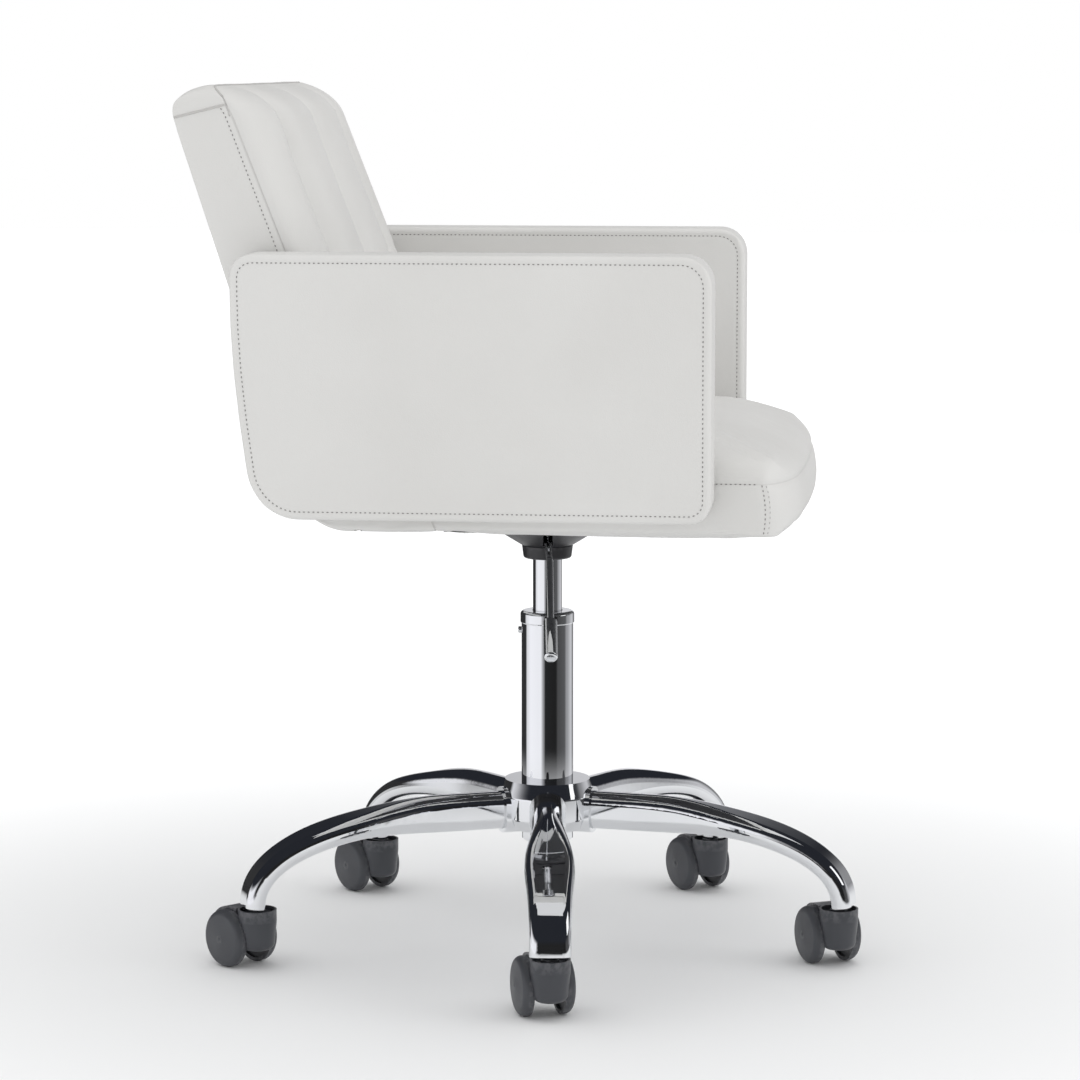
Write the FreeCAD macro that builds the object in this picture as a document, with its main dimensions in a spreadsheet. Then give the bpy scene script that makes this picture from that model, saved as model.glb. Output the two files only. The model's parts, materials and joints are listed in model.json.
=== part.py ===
import FreeCAD, Part
import math
import os
import Sketcher

# Rolling upholstered armchair on a five-leg base with a gas lift, in millimetres.
# Origin on the floor under the column, +Z up. The sitter faces -Y; the lever is on the sitter's right, -X.

doc = FreeCAD.newDocument("rolling_armchair")


# ---------------------------------------------------------------- driving sizes

sizes = {
    # fits and gaps
    "running_gap": (0.05, "radial clearance of every turning or sliding fit"),
    "press_gap": (0.02, "radial clearance between pieces that are pressed together"),
    "socket_gap": (0.12, "clearance round a leg in its hub socket"),
    "body_gap": (0.4, "clearance between pieces of different moving bodies"),
    "pad_gap": (0.8, "clearance round upholstered pieces"),
    # five-leg base
    "stem_circle_r": (290.0, "column axis to castor stem axis"),
    "hub_top_z": (166.0, "top face of the hub"),
    "hub_bottom_z": (119.0, "bottom face of the hub"),
    "hub_top_r": (41.0, "radius of the hub's top face"),
    "hub_waist_r": (45.5, "largest radius of the hub's barrel"),
    "hub_foot_r": (39.0, "radius of the hub's bottom face"),
    "hub_round": (5.0, "rounding of the hub's barrel"),
    "rim_reach_r": (47.0, "column axis to the rim of a leg socket"),
    "rim_wall": (4.0, "wall of the rim round a leg"),
    "leg_root_r": (33.0, "column axis to the inner end of a leg"),
    "leg_axis_z": (137.5, "height of the legs' straight part"),
    "leg_root_width": (27.0, "leg width in the hub"),
    "leg_root_height": (36.0, "leg height in the hub"),
    "leg_flat_width": (47.0, "leg width where it is flattest"),
    "leg_flat_height": (20.5, "leg thickness where it is flattest"),
    "leg_tip_width": (38.0, "leg width over the castor"),
    "leg_tip_height": (19.0, "leg thickness over the castor"),
    "leg_arch_start_r": (108.0, "where the leg's arch begins"),
    "leg_tip_out": (4.5, "leg tip's axis beyond the stem axis"),
    "leg_wall": (2.0, "wall of the leg tube"),
    "leg_lift": (3.0, "leg tip above the castor's collar"),
    "stem_bush_r": (8.0, "outer radius of the bush that takes the castor stem"),
    "stem_bush_len": (24.0, "length of that bush"),
    # castors
    "wheel_r": (27.5, "castor wheel radius"),
    "wheel_inner": (14.6, "castor mid plane to the wheel's inner face"),
    "tread_width": (4.6, "width of the tread"),
    "dome_rise": (7.8, "rise of the wheel's domed face"),
    "dome_round": (6.0, "rounding from the tread to the dome"),
    "trail": (25.0, "stem axis to wheel axle"),
    "collar_z": (57.0, "top of the castor's collar"),
    "collar_r": (18.4, "radius of the castor's collar"),
    "collar_foot_r": (15.6, "radius at the foot of the castor's stem housing"),
    "collar_foot_z": (18.0, "bottom of the castor's stem housing"),
    "collar_wall": (1.8, "wall round the collar's recess"),
    "collar_recess": (4.0, "depth of the recess in the collar's top"),
    "stem_boss_r": (8.2, "boss round the stem inside the recess"),
    "stem_r": (5.5, "castor stem radius"),
    "stem_seat_z": (32.0, "bottom of the stem in the housing"),
    "stem_top": (21.0, "stem above the collar"),
    "axle_r": (3.0, "castor axle radius"),
    "axle_half": (22.0, "half the castor axle's length"),
    "hood_gap": (0.7, "hood clearance at the wheels"),
    # column and gas lift
    "column_r": (25.0, "outer tube radius"),
    "column_wall": (1.6, "outer tube wall"),
    "column_bottom_z": (106.0, "lower end of the outer tube"),
    "column_top_z": (318.0, "upper end of the outer tube"),
    "base_plate": (4.0, "end plate of the outer tube"),
    "bearing_height": (6.0, "thrust bearing"),
    "bush_len": (78.0, "guide bush in the outer tube"),
    "cap_height": (12.0, "ring that caps the outer tube"),
    "cap_lip": (1.0, "that ring beyond the outer tube"),
    "cap_round": (3.5, "rounding of that ring's top"),
    "screw_z": (310.5, "height of the clamping screw"),
    "screw_r": (2.0, "shank radius of that screw"),
    "screw_head_r": (3.2, "head radius of that screw"),
    "screw_head_len": (3.4, "head length of that screw"),
    "cylinder_r": (14.0, "gas cylinder radius"),
    "cylinder_wall": (2.0, "gas cylinder wall"),
    "cylinder_bottom_z": (172.0, "lower end of the gas cylinder"),
    "cylinder_top_z": (411.0, "upper end of the gas cylinder"),
    "cylinder_end": (12.0, "seal at the gas cylinder's lower end"),
    "cylinder_cap": (10.0, "valve block at the gas cylinder's top"),
    "rod_r": (5.0, "piston rod radius"),
    "rod_foot_z": (97.0, "lower end of the piston rod"),
    "rod_top_z": (268.0, "upper end of the piston"),
    "piston_len": (12.0, "piston length"),
    "shoulder_r": (9.0, "shoulder of the piston rod"),
    "clip_r": (9.0, "clip on the piston rod"),
    "clip_height": (2.5, "thickness of that clip"),
    # seat carrier
    "seat_collar_z": (381.0, "underside of the collar round the gas cylinder"),
    "seat_collar_r": (24.5, "radius of that collar"),
    "seat_collar_len": (12.0, "height of that collar"),
    "dish_mid_r": (44.0, "dish radius at its middle"),
    "dish_mid_z": (405.5, "dish height at its middle"),
    "dish_rim_r": (72.0, "dish radius at its rim"),
    "dish_wall": (2.4, "dish wall"),
    "carrier_plate": (3.0, "thickness of the carrier plate"),
    "carrier_side": (190.0, "side of the carrier plate"),
    "yoke_gap": (16.5, "half the inside width of the carrier's yoke"),
    "yoke_wall": (3.0, "yoke side plates"),
    "socket_wall": (2.4, "wall of the yoke's tube round the gas cylinder"),
    "button_r": (3.0, "release button radius"),
    "button_rise": (8.0, "release button above the gas cylinder"),
    "lever_r": (3.4, "lever rod radius"),
    "lever_turn": (6.7, "lever's turn towards the front, degrees"),
    "lever_pivot_x": (30.0, "column axis to the lever's pivot"),
    "lever_pivot_z": (416.5, "height of the lever's pivot"),
    "lever_low_z": (400.0, "height of the lever where it leaves the dish"),
    "lever_bend_x": (150.0, "column axis to the lever's bend"),
    "lever_drop": (3.0, "fall of the lever to its bend"),
    "lever_end_x": (251.0, "column axis to the lever's end"),
    "lever_end_z": (326.0, "height of the lever's end"),
    "lever_round": (9.0, "bending radius of the lever"),
    "lever_eye_r": (6.5, "eye round the lever's pivot"),
    "pin_r": (2.5, "lever pin radius"),
    "handle_r": (6.2, "handle sleeve radius"),
    "handle_len": (48.0, "handle sleeve length"),
    # seat
    "seat_half": (242.0, "half the width of the seat cushion"),
    "seat_bottom_z": (433.0, "underside of the seat"),
    "seat_top_z": (512.0, "top of the seat cushion"),
    "seat_front_y": (256.0, "column axis to the seat's front"),
    "seat_front_round": (46.0, "rounding of the seat's top front edge"),
    "seat_foot_round": (20.0, "rounding of the seat's lower front edge"),
    "seat_edge_round": (14.0, "rounding of the seat's side edges"),
    "board_half": (224.0, "half the width of the seat board"),
    "board_front_y": (212.0, "column axis to the seat board's front"),
    "board_thick": (12.0, "thickness of the seat board"),
    "board_lift": (3.0, "seat board above the underside of the seat"),
    "dust_cover": (1.0, "thickness of the dust cover"),
    # back
    "back_half": (239.5, "half the width of the back"),
    "back_front_y": (131.0, "front edge of the back at the reference height"),
    "back_rear_y": (206.0, "rear of the back at the reference height"),
    "back_ref_z": (480.0, "reference height for the back's front and rear"),
    "back_front_slope": (0.389, "lean of the back's front edge, y per z"),
    "back_rear_slope": (0.325, "lean of the back's rear, y per z"),
    "back_crown": (30.0, "how far the back cushion stands ahead of its edge"),
    "back_top_z": (834.0, "top of the back"),
    "back_top_round": (34.0, "rounding of the back's top front edge"),
    "back_rear_round": (20.0, "rounding of the back's top rear edge"),
    "back_edge_round": (16.0, "rounding of the back cushion's side edges"),
    "rail_bottom_z": (437.0, "underside of the back rail"),
    "rail_height": (36.0, "height of the back rail"),
    "rail_round": (34.0, "rounding of the back rail"),
    "panel_thick": (12.0, "thickness of the padded rear panel"),
    "back_board_thick": (12.0, "thickness of the back board"),
    "back_board_inset": (30.0, "back board inside the back's outline"),
    # arms
    "arm_inner": (243.0, "mid plane to the inner face of an arm"),
    "arm_thick": (57.0, "thickness of an arm"),
    "arm_top_z": (686.0, "top of the arms"),
    "arm_bottom_z": (451.0, "underside of the arms"),
    "arm_front_y": (175.0, "column axis to the front of the arms"),
    "arm_rear_y": (251.0, "column axis to the rear of the arms"),
    "arm_knee_z": (620.0, "where the rear edge of the arms turns in"),
    "arm_foot_y": (230.0, "column axis to the rear of the arms at the bottom"),
    "arm_edge_round": (6.0, "rounding of the arms' long edges"),
}

# Directions in degrees about +Z. Each castor trails in its own direction at rest.
leg_directions = [186.5, 258.5, 330.5, 42.5, 114.5]
castor_directions = [21.6, 26.1, 34.9, 43.6, 48.8]

sheet = doc.addObject("Spreadsheet::Sheet", "Sizes")
for row, (alias, (value, note)) in enumerate(sizes.items(), start=1):
    sheet.set(f"A{row}", alias)
    sheet.set(f"B{row}", str(value))
    sheet.setAlias(f"B{row}", alias)
    sheet.set(f"C{row}", note)
doc.recompute()


class Size:
    """A length that carries its number and the spreadsheet formula for it."""

    def __init__(self, value, formula):
        self.value = value
        self.formula = formula

    def combine(self, other, sign, result, swapped=False):
        theirs = other.formula if isinstance(other, Size) else repr(float(other))
        first, second = (theirs, self.formula) if swapped else (self.formula, theirs)
        return Size(result, f"({first} {sign} {second})")

    def __add__(self, other):
        return self.combine(other, "+", self.value + number(other))

    def __radd__(self, other):
        return self.combine(other, "+", number(other) + self.value, swapped=True)

    def __sub__(self, other):
        return self.combine(other, "-", self.value - number(other))

    def __rsub__(self, other):
        return self.combine(other, "-", number(other) - self.value, swapped=True)

    def __mul__(self, other):
        return self.combine(other, "*", self.value * number(other))

    def __rmul__(self, other):
        return self.combine(other, "*", number(other) * self.value, swapped=True)

    def __truediv__(self, other):
        return self.combine(other, "/", self.value / number(other))

    def __neg__(self):
        return Size(-self.value, f"(0 - {self.formula})")


def number(size):
    return size.value if isinstance(size, Size) else float(size)


def formula(size):
    return size.formula if isinstance(size, Size) else repr(float(size))


class Sizes:
    """Every cell of the spreadsheet as a Size, such as the.wheel_r."""

    def __getattr__(self, alias):
        return Size(float(sheet.get(alias)), f"Sizes.{alias}")


the = Sizes()
parts = {}


# ---------------------------------------------------------------- building blocks

def vector(x, y, z):
    return FreeCAD.Vector(number(x), number(y), number(z))


def turn_z(degrees):
    return FreeCAD.Rotation(FreeCAD.Vector(0, 0, 1), degrees)


def new_body(name, placement=None):
    body = doc.addObject("PartDesign::Body", name)
    body.Label = name
    body.Placement = placement or FreeCAD.Placement()
    parts[name] = body
    return body


def new_sketch(body, name, plane, offset=0.0):
    """A sketch on one of the body's origin planes, moved along the plane's normal."""
    sketch = body.newObject("Sketcher::SketchObject", f"{body.Name}_{name}")
    face = [feature for feature in body.Origin.OriginFeatures if feature.Role == plane][0]
    sketch.AttachmentSupport = [(face, "")]
    sketch.MapMode = "FlatFace"
    sketch.AttachmentOffset = FreeCAD.Placement(vector(0, 0, offset), FreeCAD.Rotation())
    if isinstance(offset, Size):
        sketch.setExpression("AttachmentOffset.Base.z", offset.formula)
    return sketch


def bind(sketch, kind, elements, size):
    index = sketch.addConstraint(Sketcher.Constraint(kind, *elements, number(size)))
    if isinstance(size, Size):
        sketch.setExpression(f"Constraints[{index}]", size.formula)


def pin_point(sketch, element, point, across, up):
    bind(sketch, "DistanceX", (-1, 1, element, point), across)
    bind(sketch, "DistanceY", (-1, 1, element, point), up)


def rounded_corner(before, corner, after, radius):
    """Tangent points, centre and turning side of the arc that rounds a corner."""
    to_before = (before - corner).normalize()
    to_after = (after - corner).normalize()
    half = to_before.getAngle(to_after) / 2
    reach = radius / math.tan(half)
    centre = corner + (to_before + to_after).normalize() * (radius / math.sin(half))
    left = (corner - before).cross(after - corner).z > 0
    return corner + to_before * reach, corner + to_after * reach, centre, left


def draw_outline(sketch, corners):
    """A closed outline through (across, up) or (across, up, radius) corners, every size bound."""
    spots = [vector(corner[0], corner[1], 0) for corner in corners]
    radii = [corner[2] if len(corner) > 2 else None for corner in corners]
    count = len(corners)
    rounds = {}
    for i, radius in enumerate(radii):
        if radius is not None:
            rounds[i] = rounded_corner(spots[i - 1], spots[i], spots[(i + 1) % count], number(radius))
    lines = []
    for i in range(count):
        j = (i + 1) % count
        start = rounds[i][1] if i in rounds else spots[i]
        end = rounds[j][0] if j in rounds else spots[j]
        lines.append(sketch.addGeometry(Part.LineSegment(start, end), False))
    for i, corner in enumerate(corners):
        arriving, leaving = lines[i - 1], lines[i]
        if i not in rounds:
            sketch.addConstraint(Sketcher.Constraint("Coincident", arriving, 2, leaving, 1))
            pin_point(sketch, leaving, 1, corner[0], corner[1])
            continue
        first, last, centre, left = rounds[i]
        begin, finish = (first, last) if left else (last, first)
        angles = [math.atan2(end.y - centre.y, end.x - centre.x) for end in (begin, finish)]
        circle = Part.Circle(centre, FreeCAD.Vector(0, 0, 1), number(radii[i]))
        arc = sketch.addGeometry(Part.ArcOfCircle(circle, *angles), False)
        entry, leave = (1, 2) if left else (2, 1)
        sketch.addConstraint(Sketcher.Constraint("Tangent", arriving, 2, arc, entry))
        sketch.addConstraint(Sketcher.Constraint("Tangent", arc, leave, leaving, 1))
        bind(sketch, "Radius", (arc,), radii[i])
        mark = sketch.addGeometry(Part.Point(spots[i]), True)
        pin_point(sketch, mark, 1, corner[0], corner[1])
        sketch.addConstraint(Sketcher.Constraint("PointOnObject", mark, 1, arriving))
        sketch.addConstraint(Sketcher.Constraint("PointOnObject", mark, 1, leaving))


def draw_circle(sketch, across, up, radius):
    circle = sketch.addGeometry(
        Part.Circle(vector(across, up, 0), FreeCAD.Vector(0, 0, 1), number(radius)), False)
    bind(sketch, "Radius", (circle,), radius)
    pin_point(sketch, circle, 3, across, up)


def revolve(body, name, corners, kind="PartDesign::Revolution"):
    """A (radius, height) outline turned about the body's Z axis."""
    sketch = new_sketch(body, f"{name}_outline", "XZ_Plane")
    draw_outline(sketch, corners)
    feature = body.newObject(kind, f"{body.Name}_{name}")
    feature.Profile = sketch
    feature.ReferenceAxis = (sketch, ["V_Axis"])
    feature.Angle = 360
    return feature


def extrude(body, name, sketch, length, kind="PartDesign::Pad", middle=False, back=False):
    feature = body.newObject(kind, f"{body.Name}_{name}")
    feature.Profile = sketch
    feature.Length = number(length)
    if isinstance(length, Size):
        feature.setExpression("Length", length.formula)
    if middle:
        feature.SideType = "Symmetric"
    feature.Reversed = back
    return feature


def cut_checked(body, feature, name):
    """Recompute and make sure that the cut has taken material away."""
    doc.recompute()
    before = feature.BaseFeature.Shape.Volume
    if not feature.Shape.Volume < before - 1.0:
        raise RuntimeError(f"{name} cuts nothing")


def round_edges(body, name, base, radius, wanted):
    """Fillet the edges of base whose middle point passes the wanted test."""
    doc.recompute()
    names = []
    for i, edge in enumerate(base.Shape.Edges, start=1):
        middle = edge.valueAt((edge.FirstParameter + edge.LastParameter) / 2)
        if wanted(middle, edge):
            names.append(f"Edge{i}")
    fillet = body.newObject("PartDesign::Fillet", f"{body.Name}_{name}")
    fillet.Base = (base, names)
    fillet.Radius = number(radius)
    fillet.setExpression("Radius", formula(radius))
    return fillet


def turned_piece(name, corners, placement=None):
    body = new_body(name, placement)
    revolve(body, "turning", corners)
    return body


# ---------------------------------------------------------------- five-leg base

def build_hub():
    """Cast barrel round the column with a rimmed oval socket for each leg."""
    body = new_body("hub", FreeCAD.Placement(FreeCAD.Vector(), turn_z(leg_directions[0])))
    bore = the.column_r + the.press_gap
    shoulder = the.hub_top_z - 15.0
    ankle = the.hub_bottom_z + 10.0
    revolve(body, "barrel", [
        (bore, the.hub_bottom_z), (the.hub_foot_r, the.hub_bottom_z),
        (the.hub_waist_r, ankle, the.hub_round), (the.hub_waist_r, shoulder, the.hub_round),
        (the.hub_top_r, the.hub_top_z), (bore, the.hub_top_z)])
    start = the.column_r + 4.0
    rim_sketch = new_sketch(body, "rim_outline", "YZ_Plane", start)
    oval(rim_sketch, the.leg_root_width / 2 + the.rim_wall, the.leg_root_height / 2 + the.rim_wall)
    rim = extrude(body, "rim", rim_sketch, the.rim_reach_r - start)
    socket_sketch = new_sketch(body, "socket_outline", "YZ_Plane", the.leg_root_r)
    oval(socket_sketch, the.leg_root_width / 2 + the.socket_gap, the.leg_root_height / 2 + the.socket_gap)
    socket = extrude(body, "socket", socket_sketch, the.rim_reach_r - the.leg_root_r + 5.0,
                     "PartDesign::Pocket", back=True)
    cut_checked(body, socket, "leg socket")
    ring = body.newObject("PartDesign::PolarPattern", "hub_ring")
    ring.Originals = [rim, socket]
    ring.Axis = (next(line for line in body.Origin.OriginFeatures if line.Role == "Z_Axis"), [""])
    ring.Angle = 360
    ring.Occurrences = len(leg_directions)
    body.Tip = ring


def oval(sketch, half_width, half_height):
    """The upright rounded outline of a leg's root, about the leg axis."""
    radius = half_width * 0.88
    low, high = the.leg_axis_z - half_height, the.leg_axis_z + half_height
    draw_outline(sketch, [
        (-half_width, low, radius), (half_width, low, radius),
        (half_width, high, radius), (-half_width, high, radius)])


def leg_section(reach, height, tilt, width, thickness):
    """A rounded oval wire across the leg, its plane square to the leg's axis."""
    half_width, half_thick = width / 2, thickness / 2
    radius = 0.88 * min(half_width, half_thick)
    a, b = half_width - radius, half_thick - radius
    k = radius * math.sqrt(0.5)
    edges = []
    for sx, sy in ((1, 1), (-1, 1), (-1, -1), (1, -1)):
        corner = FreeCAD.Vector(sx * a, sy * b, 0)
        tips = [corner + FreeCAD.Vector(sx * radius, 0, 0), corner + FreeCAD.Vector(sx * k, sy * k, 0),
                corner + FreeCAD.Vector(0, sy * radius, 0)]
        if sx * sy < 0:
            tips.reverse()
        if edges:
            edges.append(Part.LineSegment(edges[-1].EndPoint, tips[0]))
        edges.append(Part.Arc(*tips))
    edges.append(Part.LineSegment(edges[-1].EndPoint, edges[0].StartPoint))
    wire = Part.Wire([edge.toShape() for edge in edges])
    # local X lies across the leg and local Y is the leg's upper side
    face_along = FreeCAD.Rotation(FreeCAD.Vector(0, 1, 0), FreeCAD.Vector(0, 0, 1), FreeCAD.Vector(), "ZXY")
    lean = FreeCAD.Rotation(FreeCAD.Vector(0, 1, 0), tilt)
    wire.Placement = FreeCAD.Placement(FreeCAD.Vector(reach, 0, height), lean * face_along)
    return wire


def leg_stations():
    """(reach, height, tilt, width, thickness) along one leg: straight out of the hub, then an arch."""
    fullness = 2.2
    start, tip = number(the.leg_arch_start_r), number(the.stem_circle_r + the.leg_tip_out)
    top, low = number(the.leg_axis_z), number(the.collar_z + the.leg_lift)
    root = (number(the.leg_root_width), number(the.leg_root_height))
    flat = (number(the.leg_flat_width), number(the.leg_flat_height))
    end = (number(the.leg_tip_width), number(the.leg_tip_height))
    straight = start - number(the.leg_root_r)
    shares = (0, 0.2, 0.4, 0.6, 0.8)
    stations = [(number(the.leg_root_r) + straight * share, top, 0.0, *root) for share in shares]
    for degrees in (6, 21, 37, 51, 63, 74, 84, 90):
        angle = math.radians(degrees)
        out, up = math.sin(angle) ** (2 / fullness), math.cos(angle) ** (2 / fullness)
        slope_out = math.sin(angle) ** (2 / fullness - 1) * math.cos(angle) * (tip - start)
        slope_up = max(math.cos(angle), 1e-6) ** (2 / fullness - 1) * math.sin(angle) * (top - low)
        tilt = min(math.degrees(math.atan2(slope_up, slope_out)), 84.0)
        swage = min(1.0, out / 0.6)
        swage = swage * swage * (3 - 2 * swage)
        taper = max(0.0, (out - 0.6) / 0.4)
        width = root[0] + (flat[0] - root[0]) * swage + (end[0] - flat[0]) * taper
        thick = root[1] + (flat[1] - root[1]) * swage + (end[1] - flat[1]) * taper
        stations.append((start + (tip - start) * out, low + (top - low) * up, tilt, width, thick))
    return stations


def build_leg(index, direction):
    """Swaged oval tube: a hollow loft through the stations, with a seat for the stem bush at its tip."""
    wall = number(the.leg_wall)
    stations = leg_stations()
    hollow = [(r, z, tilt, w - 2 * wall, h - 2 * wall) for r, z, tilt, w, h in stations]
    # the hollow runs past both ends of the tube
    hollow[0] = (hollow[0][0] - wall, *hollow[0][1:])
    hollow[-1] = (hollow[-1][0], hollow[-1][1] - wall, *hollow[-1][2:])
    cubic = 3
    outside = Part.makeLoft([leg_section(*station) for station in stations], True, False, False, cubic)
    inside = Part.makeLoft([leg_section(*station) for station in hollow], True, False, False, cubic)
    seat = Part.makeCylinder(number(the.stem_bush_r + the.press_gap), number(the.stem_bush_len),
                             vector(the.stem_circle_r, 0, the.collar_z + the.body_gap))
    shape = outside.cut(inside).cut(seat)
    solids = sorted(shape.Solids, key=lambda solid: solid.Volume)
    leg = doc.addObject("Part::Feature", f"leg_{index}")
    leg.Label = leg.Name
    leg.Shape = solids[-1]
    leg.Placement = FreeCAD.Placement(FreeCAD.Vector(), turn_z(direction))
    parts[leg.Name] = leg


def build_stem_bush(index, direction):
    """Turned bush at the leg's tip, bored for the castor stem."""
    place = FreeCAD.Placement(turn_z(direction).multVec(vector(the.stem_circle_r, 0, 0)), turn_z(direction))
    low = the.collar_z + the.body_gap
    high = low + the.stem_bush_len
    bore = the.stem_r + the.running_gap
    turned_piece(f"stem_bush_{index}", [
        (bore, low), (the.stem_bush_r, low), (the.stem_bush_r, high), (0.0, high), (0.0, high - 1.6),
        (bore, high - 1.6)], place)


# ---------------------------------------------------------------- castors

def castor_place(leg_direction, trail_direction):
    """Castor frame: origin on the floor under the stem, +X towards the axle."""
    return FreeCAD.Placement(turn_z(leg_direction).multVec(vector(the.stem_circle_r, 0, 0)),
                             turn_z(trail_direction))


def build_castor_housing(index, place):
    body = new_body(f"castor_{index}_housing", place)
    rim = the.collar_r - the.collar_wall
    floor = the.collar_z - the.collar_recess
    revolve(body, "barrel", [
        (the.stem_r, the.stem_seat_z), (0.0, the.stem_seat_z), (0.0, the.collar_foot_z),
        (the.collar_foot_r, the.collar_foot_z, 7.0), (the.collar_r, the.collar_z - 12.0, 20.0),
        (the.collar_r, the.collar_z), (rim, the.collar_z), (rim, floor), (the.stem_boss_r, floor),
        (the.stem_boss_r, the.collar_z - 1.0), (the.stem_r, the.collar_z - 1.0)])
    hood_sketch = new_sketch(body, "hood_outline", "XZ_Plane")
    back = the.trail + the.wheel_r + 1.5
    draw_outline(hood_sketch, [
        (the.collar_r - 3.0, the.collar_foot_z + 6.0), (the.trail + 7.0, the.collar_foot_z - 1.0, 6.0),
        (the.trail + 12.0, the.wheel_r + 8.0, 6.0), (back - 6.0, the.wheel_r - 4.0), (back, the.wheel_r),
        (back, the.collar_z, the.wheel_r - 1.0), (the.collar_r - 3.0, the.collar_z)])
    extrude(body, "hood", hood_sketch, 2 * (the.wheel_inner - the.hood_gap), middle=True)
    for side, name in ((1, "near"), (-1, "far")):
        # the wheels' room is cut from both flanks of the stem housing
        room = new_sketch(body, f"{name}_room", "XZ_Plane", side * (the.wheel_inner - the.hood_gap))
        draw_circle(room, the.trail, the.wheel_r, the.wheel_r + the.hood_gap)
        cut = extrude(body, f"{name}_cut", room, the.collar_r, "PartDesign::Pocket", back=side > 0)
        cut_checked(body, cut, f"castor {index} {name} wheel room")
    axle = new_sketch(body, "axle_hole", "XZ_Plane")
    draw_circle(axle, the.trail, the.wheel_r, the.axle_r)
    bore = extrude(body, "axle_bore", axle, 4 * the.collar_r, "PartDesign::Pocket", middle=True)
    cut_checked(body, bore, f"castor {index} axle bore")


def build_castor_stem(index, place):
    top = the.collar_z + the.stem_top
    turned_piece(f"castor_{index}_stem", [
        (0.0, the.stem_seat_z), (the.stem_r, the.stem_seat_z), (the.stem_r, top - 6.0),
        (the.stem_r - 0.8, top - 6.0), (the.stem_r - 0.8, top - 3.5), (the.stem_r, top - 3.5),
        (the.stem_r, top - 1.2), (the.stem_r - 1.2, top), (0.0, top)], place)


def build_castor_axle(index, place):
    axle = doc.addObject("Part::Cylinder", f"castor_{index}_axle")
    axle.Label = axle.Name
    axle.setExpression("Radius", the.axle_r.formula)
    axle.setExpression("Height", (2 * the.axle_half).formula)
    lying = FreeCAD.Placement(vector(the.trail, the.axle_half, the.wheel_r),
                              FreeCAD.Rotation(FreeCAD.Vector(1, 0, 0), 90))
    axle.Placement = place * lying
    parts[axle.Name] = axle


def build_castor_wheel(index, side, name, place):
    """Domed nylon wheel; its own Z axis points outwards along the axle."""
    facing = FreeCAD.Rotation(FreeCAD.Vector(1, 0, 0), -90 * side)
    local = FreeCAD.Placement(vector(the.trail, 0, the.wheel_r), facing)
    edge = the.wheel_inner + the.tread_width
    crown = edge + the.dome_rise
    bore = the.axle_r + the.running_gap
    web = the.wheel_inner + 3.0
    turned_piece(f"castor_{index}_wheel_{name}", [
        (bore, the.wheel_inner), (the.axle_r + 4.0, the.wheel_inner), (the.axle_r + 4.0, web),
        (the.wheel_r - 3.5, web), (the.wheel_r - 3.5, the.wheel_inner), (the.wheel_r, the.wheel_inner),
        (the.wheel_r, edge), (the.wheel_r - 1.8, crown - 2.6, the.dome_round), (0.0, crown),
        (0.0, the.axle_half + the.body_gap), (bore, the.axle_half + the.body_gap)], place * local)


# ---------------------------------------------------------------- column and gas lift

def build_column():
    body = new_body("column_tube")
    inner = the.column_r - the.column_wall
    hole = the.rod_r + the.running_gap
    revolve(body, "tube", [
        (hole, the.column_bottom_z), (the.column_r - 2.0, the.column_bottom_z),
        (the.column_r, the.column_bottom_z + 2.0), (the.column_r, the.column_top_z),
        (inner, the.column_top_z), (inner, the.column_bottom_z + the.base_plate),
        (hole, the.column_bottom_z + the.base_plate)])
    hole_sketch = new_sketch(body, "screw_hole", "XZ_Plane")
    draw_circle(hole_sketch, 0.0, the.screw_z, the.screw_r + the.press_gap)
    cut = extrude(body, "screw_bore", hole_sketch, the.column_r + 5.0, "PartDesign::Pocket")
    cut_checked(body, cut, "screw bore")
    low = the.column_bottom_z + the.base_plate
    turned_piece("thrust_bearing", [
        (the.rod_r + 1.0, low), (inner - 4.0, low), (inner - 4.0, low + the.bearing_height),
        (the.rod_r + 1.0, low + the.bearing_height)])
    bush = new_body("guide_bush")
    revolve(bush, "sleeve", [
        (the.cylinder_r + the.running_gap, the.column_top_z - the.bush_len),
        (inner - the.press_gap, the.column_top_z - the.bush_len), (inner - the.press_gap, the.column_top_z),
        (the.cylinder_r + the.running_gap, the.column_top_z)])
    dimple = new_sketch(bush, "screw_dimple", "XZ_Plane", -(the.cylinder_r + 5.0))
    draw_circle(dimple, 0.0, the.screw_z, the.screw_r + the.press_gap)
    cut = extrude(bush, "screw_seat", dimple, the.column_r, "PartDesign::Pocket")
    cut_checked(bush, cut, "screw seat")
    turned_piece("column_cap", [
        (the.cylinder_r + 0.6, the.column_top_z), (the.column_r + the.cap_lip * 0.2, the.column_top_z),
        (the.column_r + the.cap_lip, the.column_top_z + 1.0),
        (the.column_r + the.cap_lip, the.column_top_z + the.cap_height, the.cap_round),
        (the.cylinder_r + 0.6, the.column_top_z + the.cap_height)])


def build_screw():
    """Slotted screw through the outer tube into the guide bush, on the +Y side."""
    length = the.column_r - the.cylinder_r - 5.0
    facing = FreeCAD.Rotation(FreeCAD.Vector(1, 0, 0), -90)
    place = FreeCAD.Placement(vector(0, the.cylinder_r + 5.0, the.screw_z), facing)
    body = turned_piece("clamp_screw", [
        (0.0, 0.0), (the.screw_r, 0.0), (the.screw_r, length), (the.screw_head_r, length),
        (the.screw_head_r, length + the.screw_head_len, 1.0), (0.0, length + the.screw_head_len)], place)
    slot = new_sketch(body, "slot_outline", "XY_Plane", length + the.screw_head_len - 1.2)
    reach = the.screw_head_r + 1.0
    draw_outline(slot, [(-reach, -0.5), (reach, -0.5), (reach, 0.5), (-reach, 0.5)])
    cut = extrude(body, "slot", slot, 3.0, "PartDesign::Pocket", back=True)
    cut_checked(body, cut, "screw slot")


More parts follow.
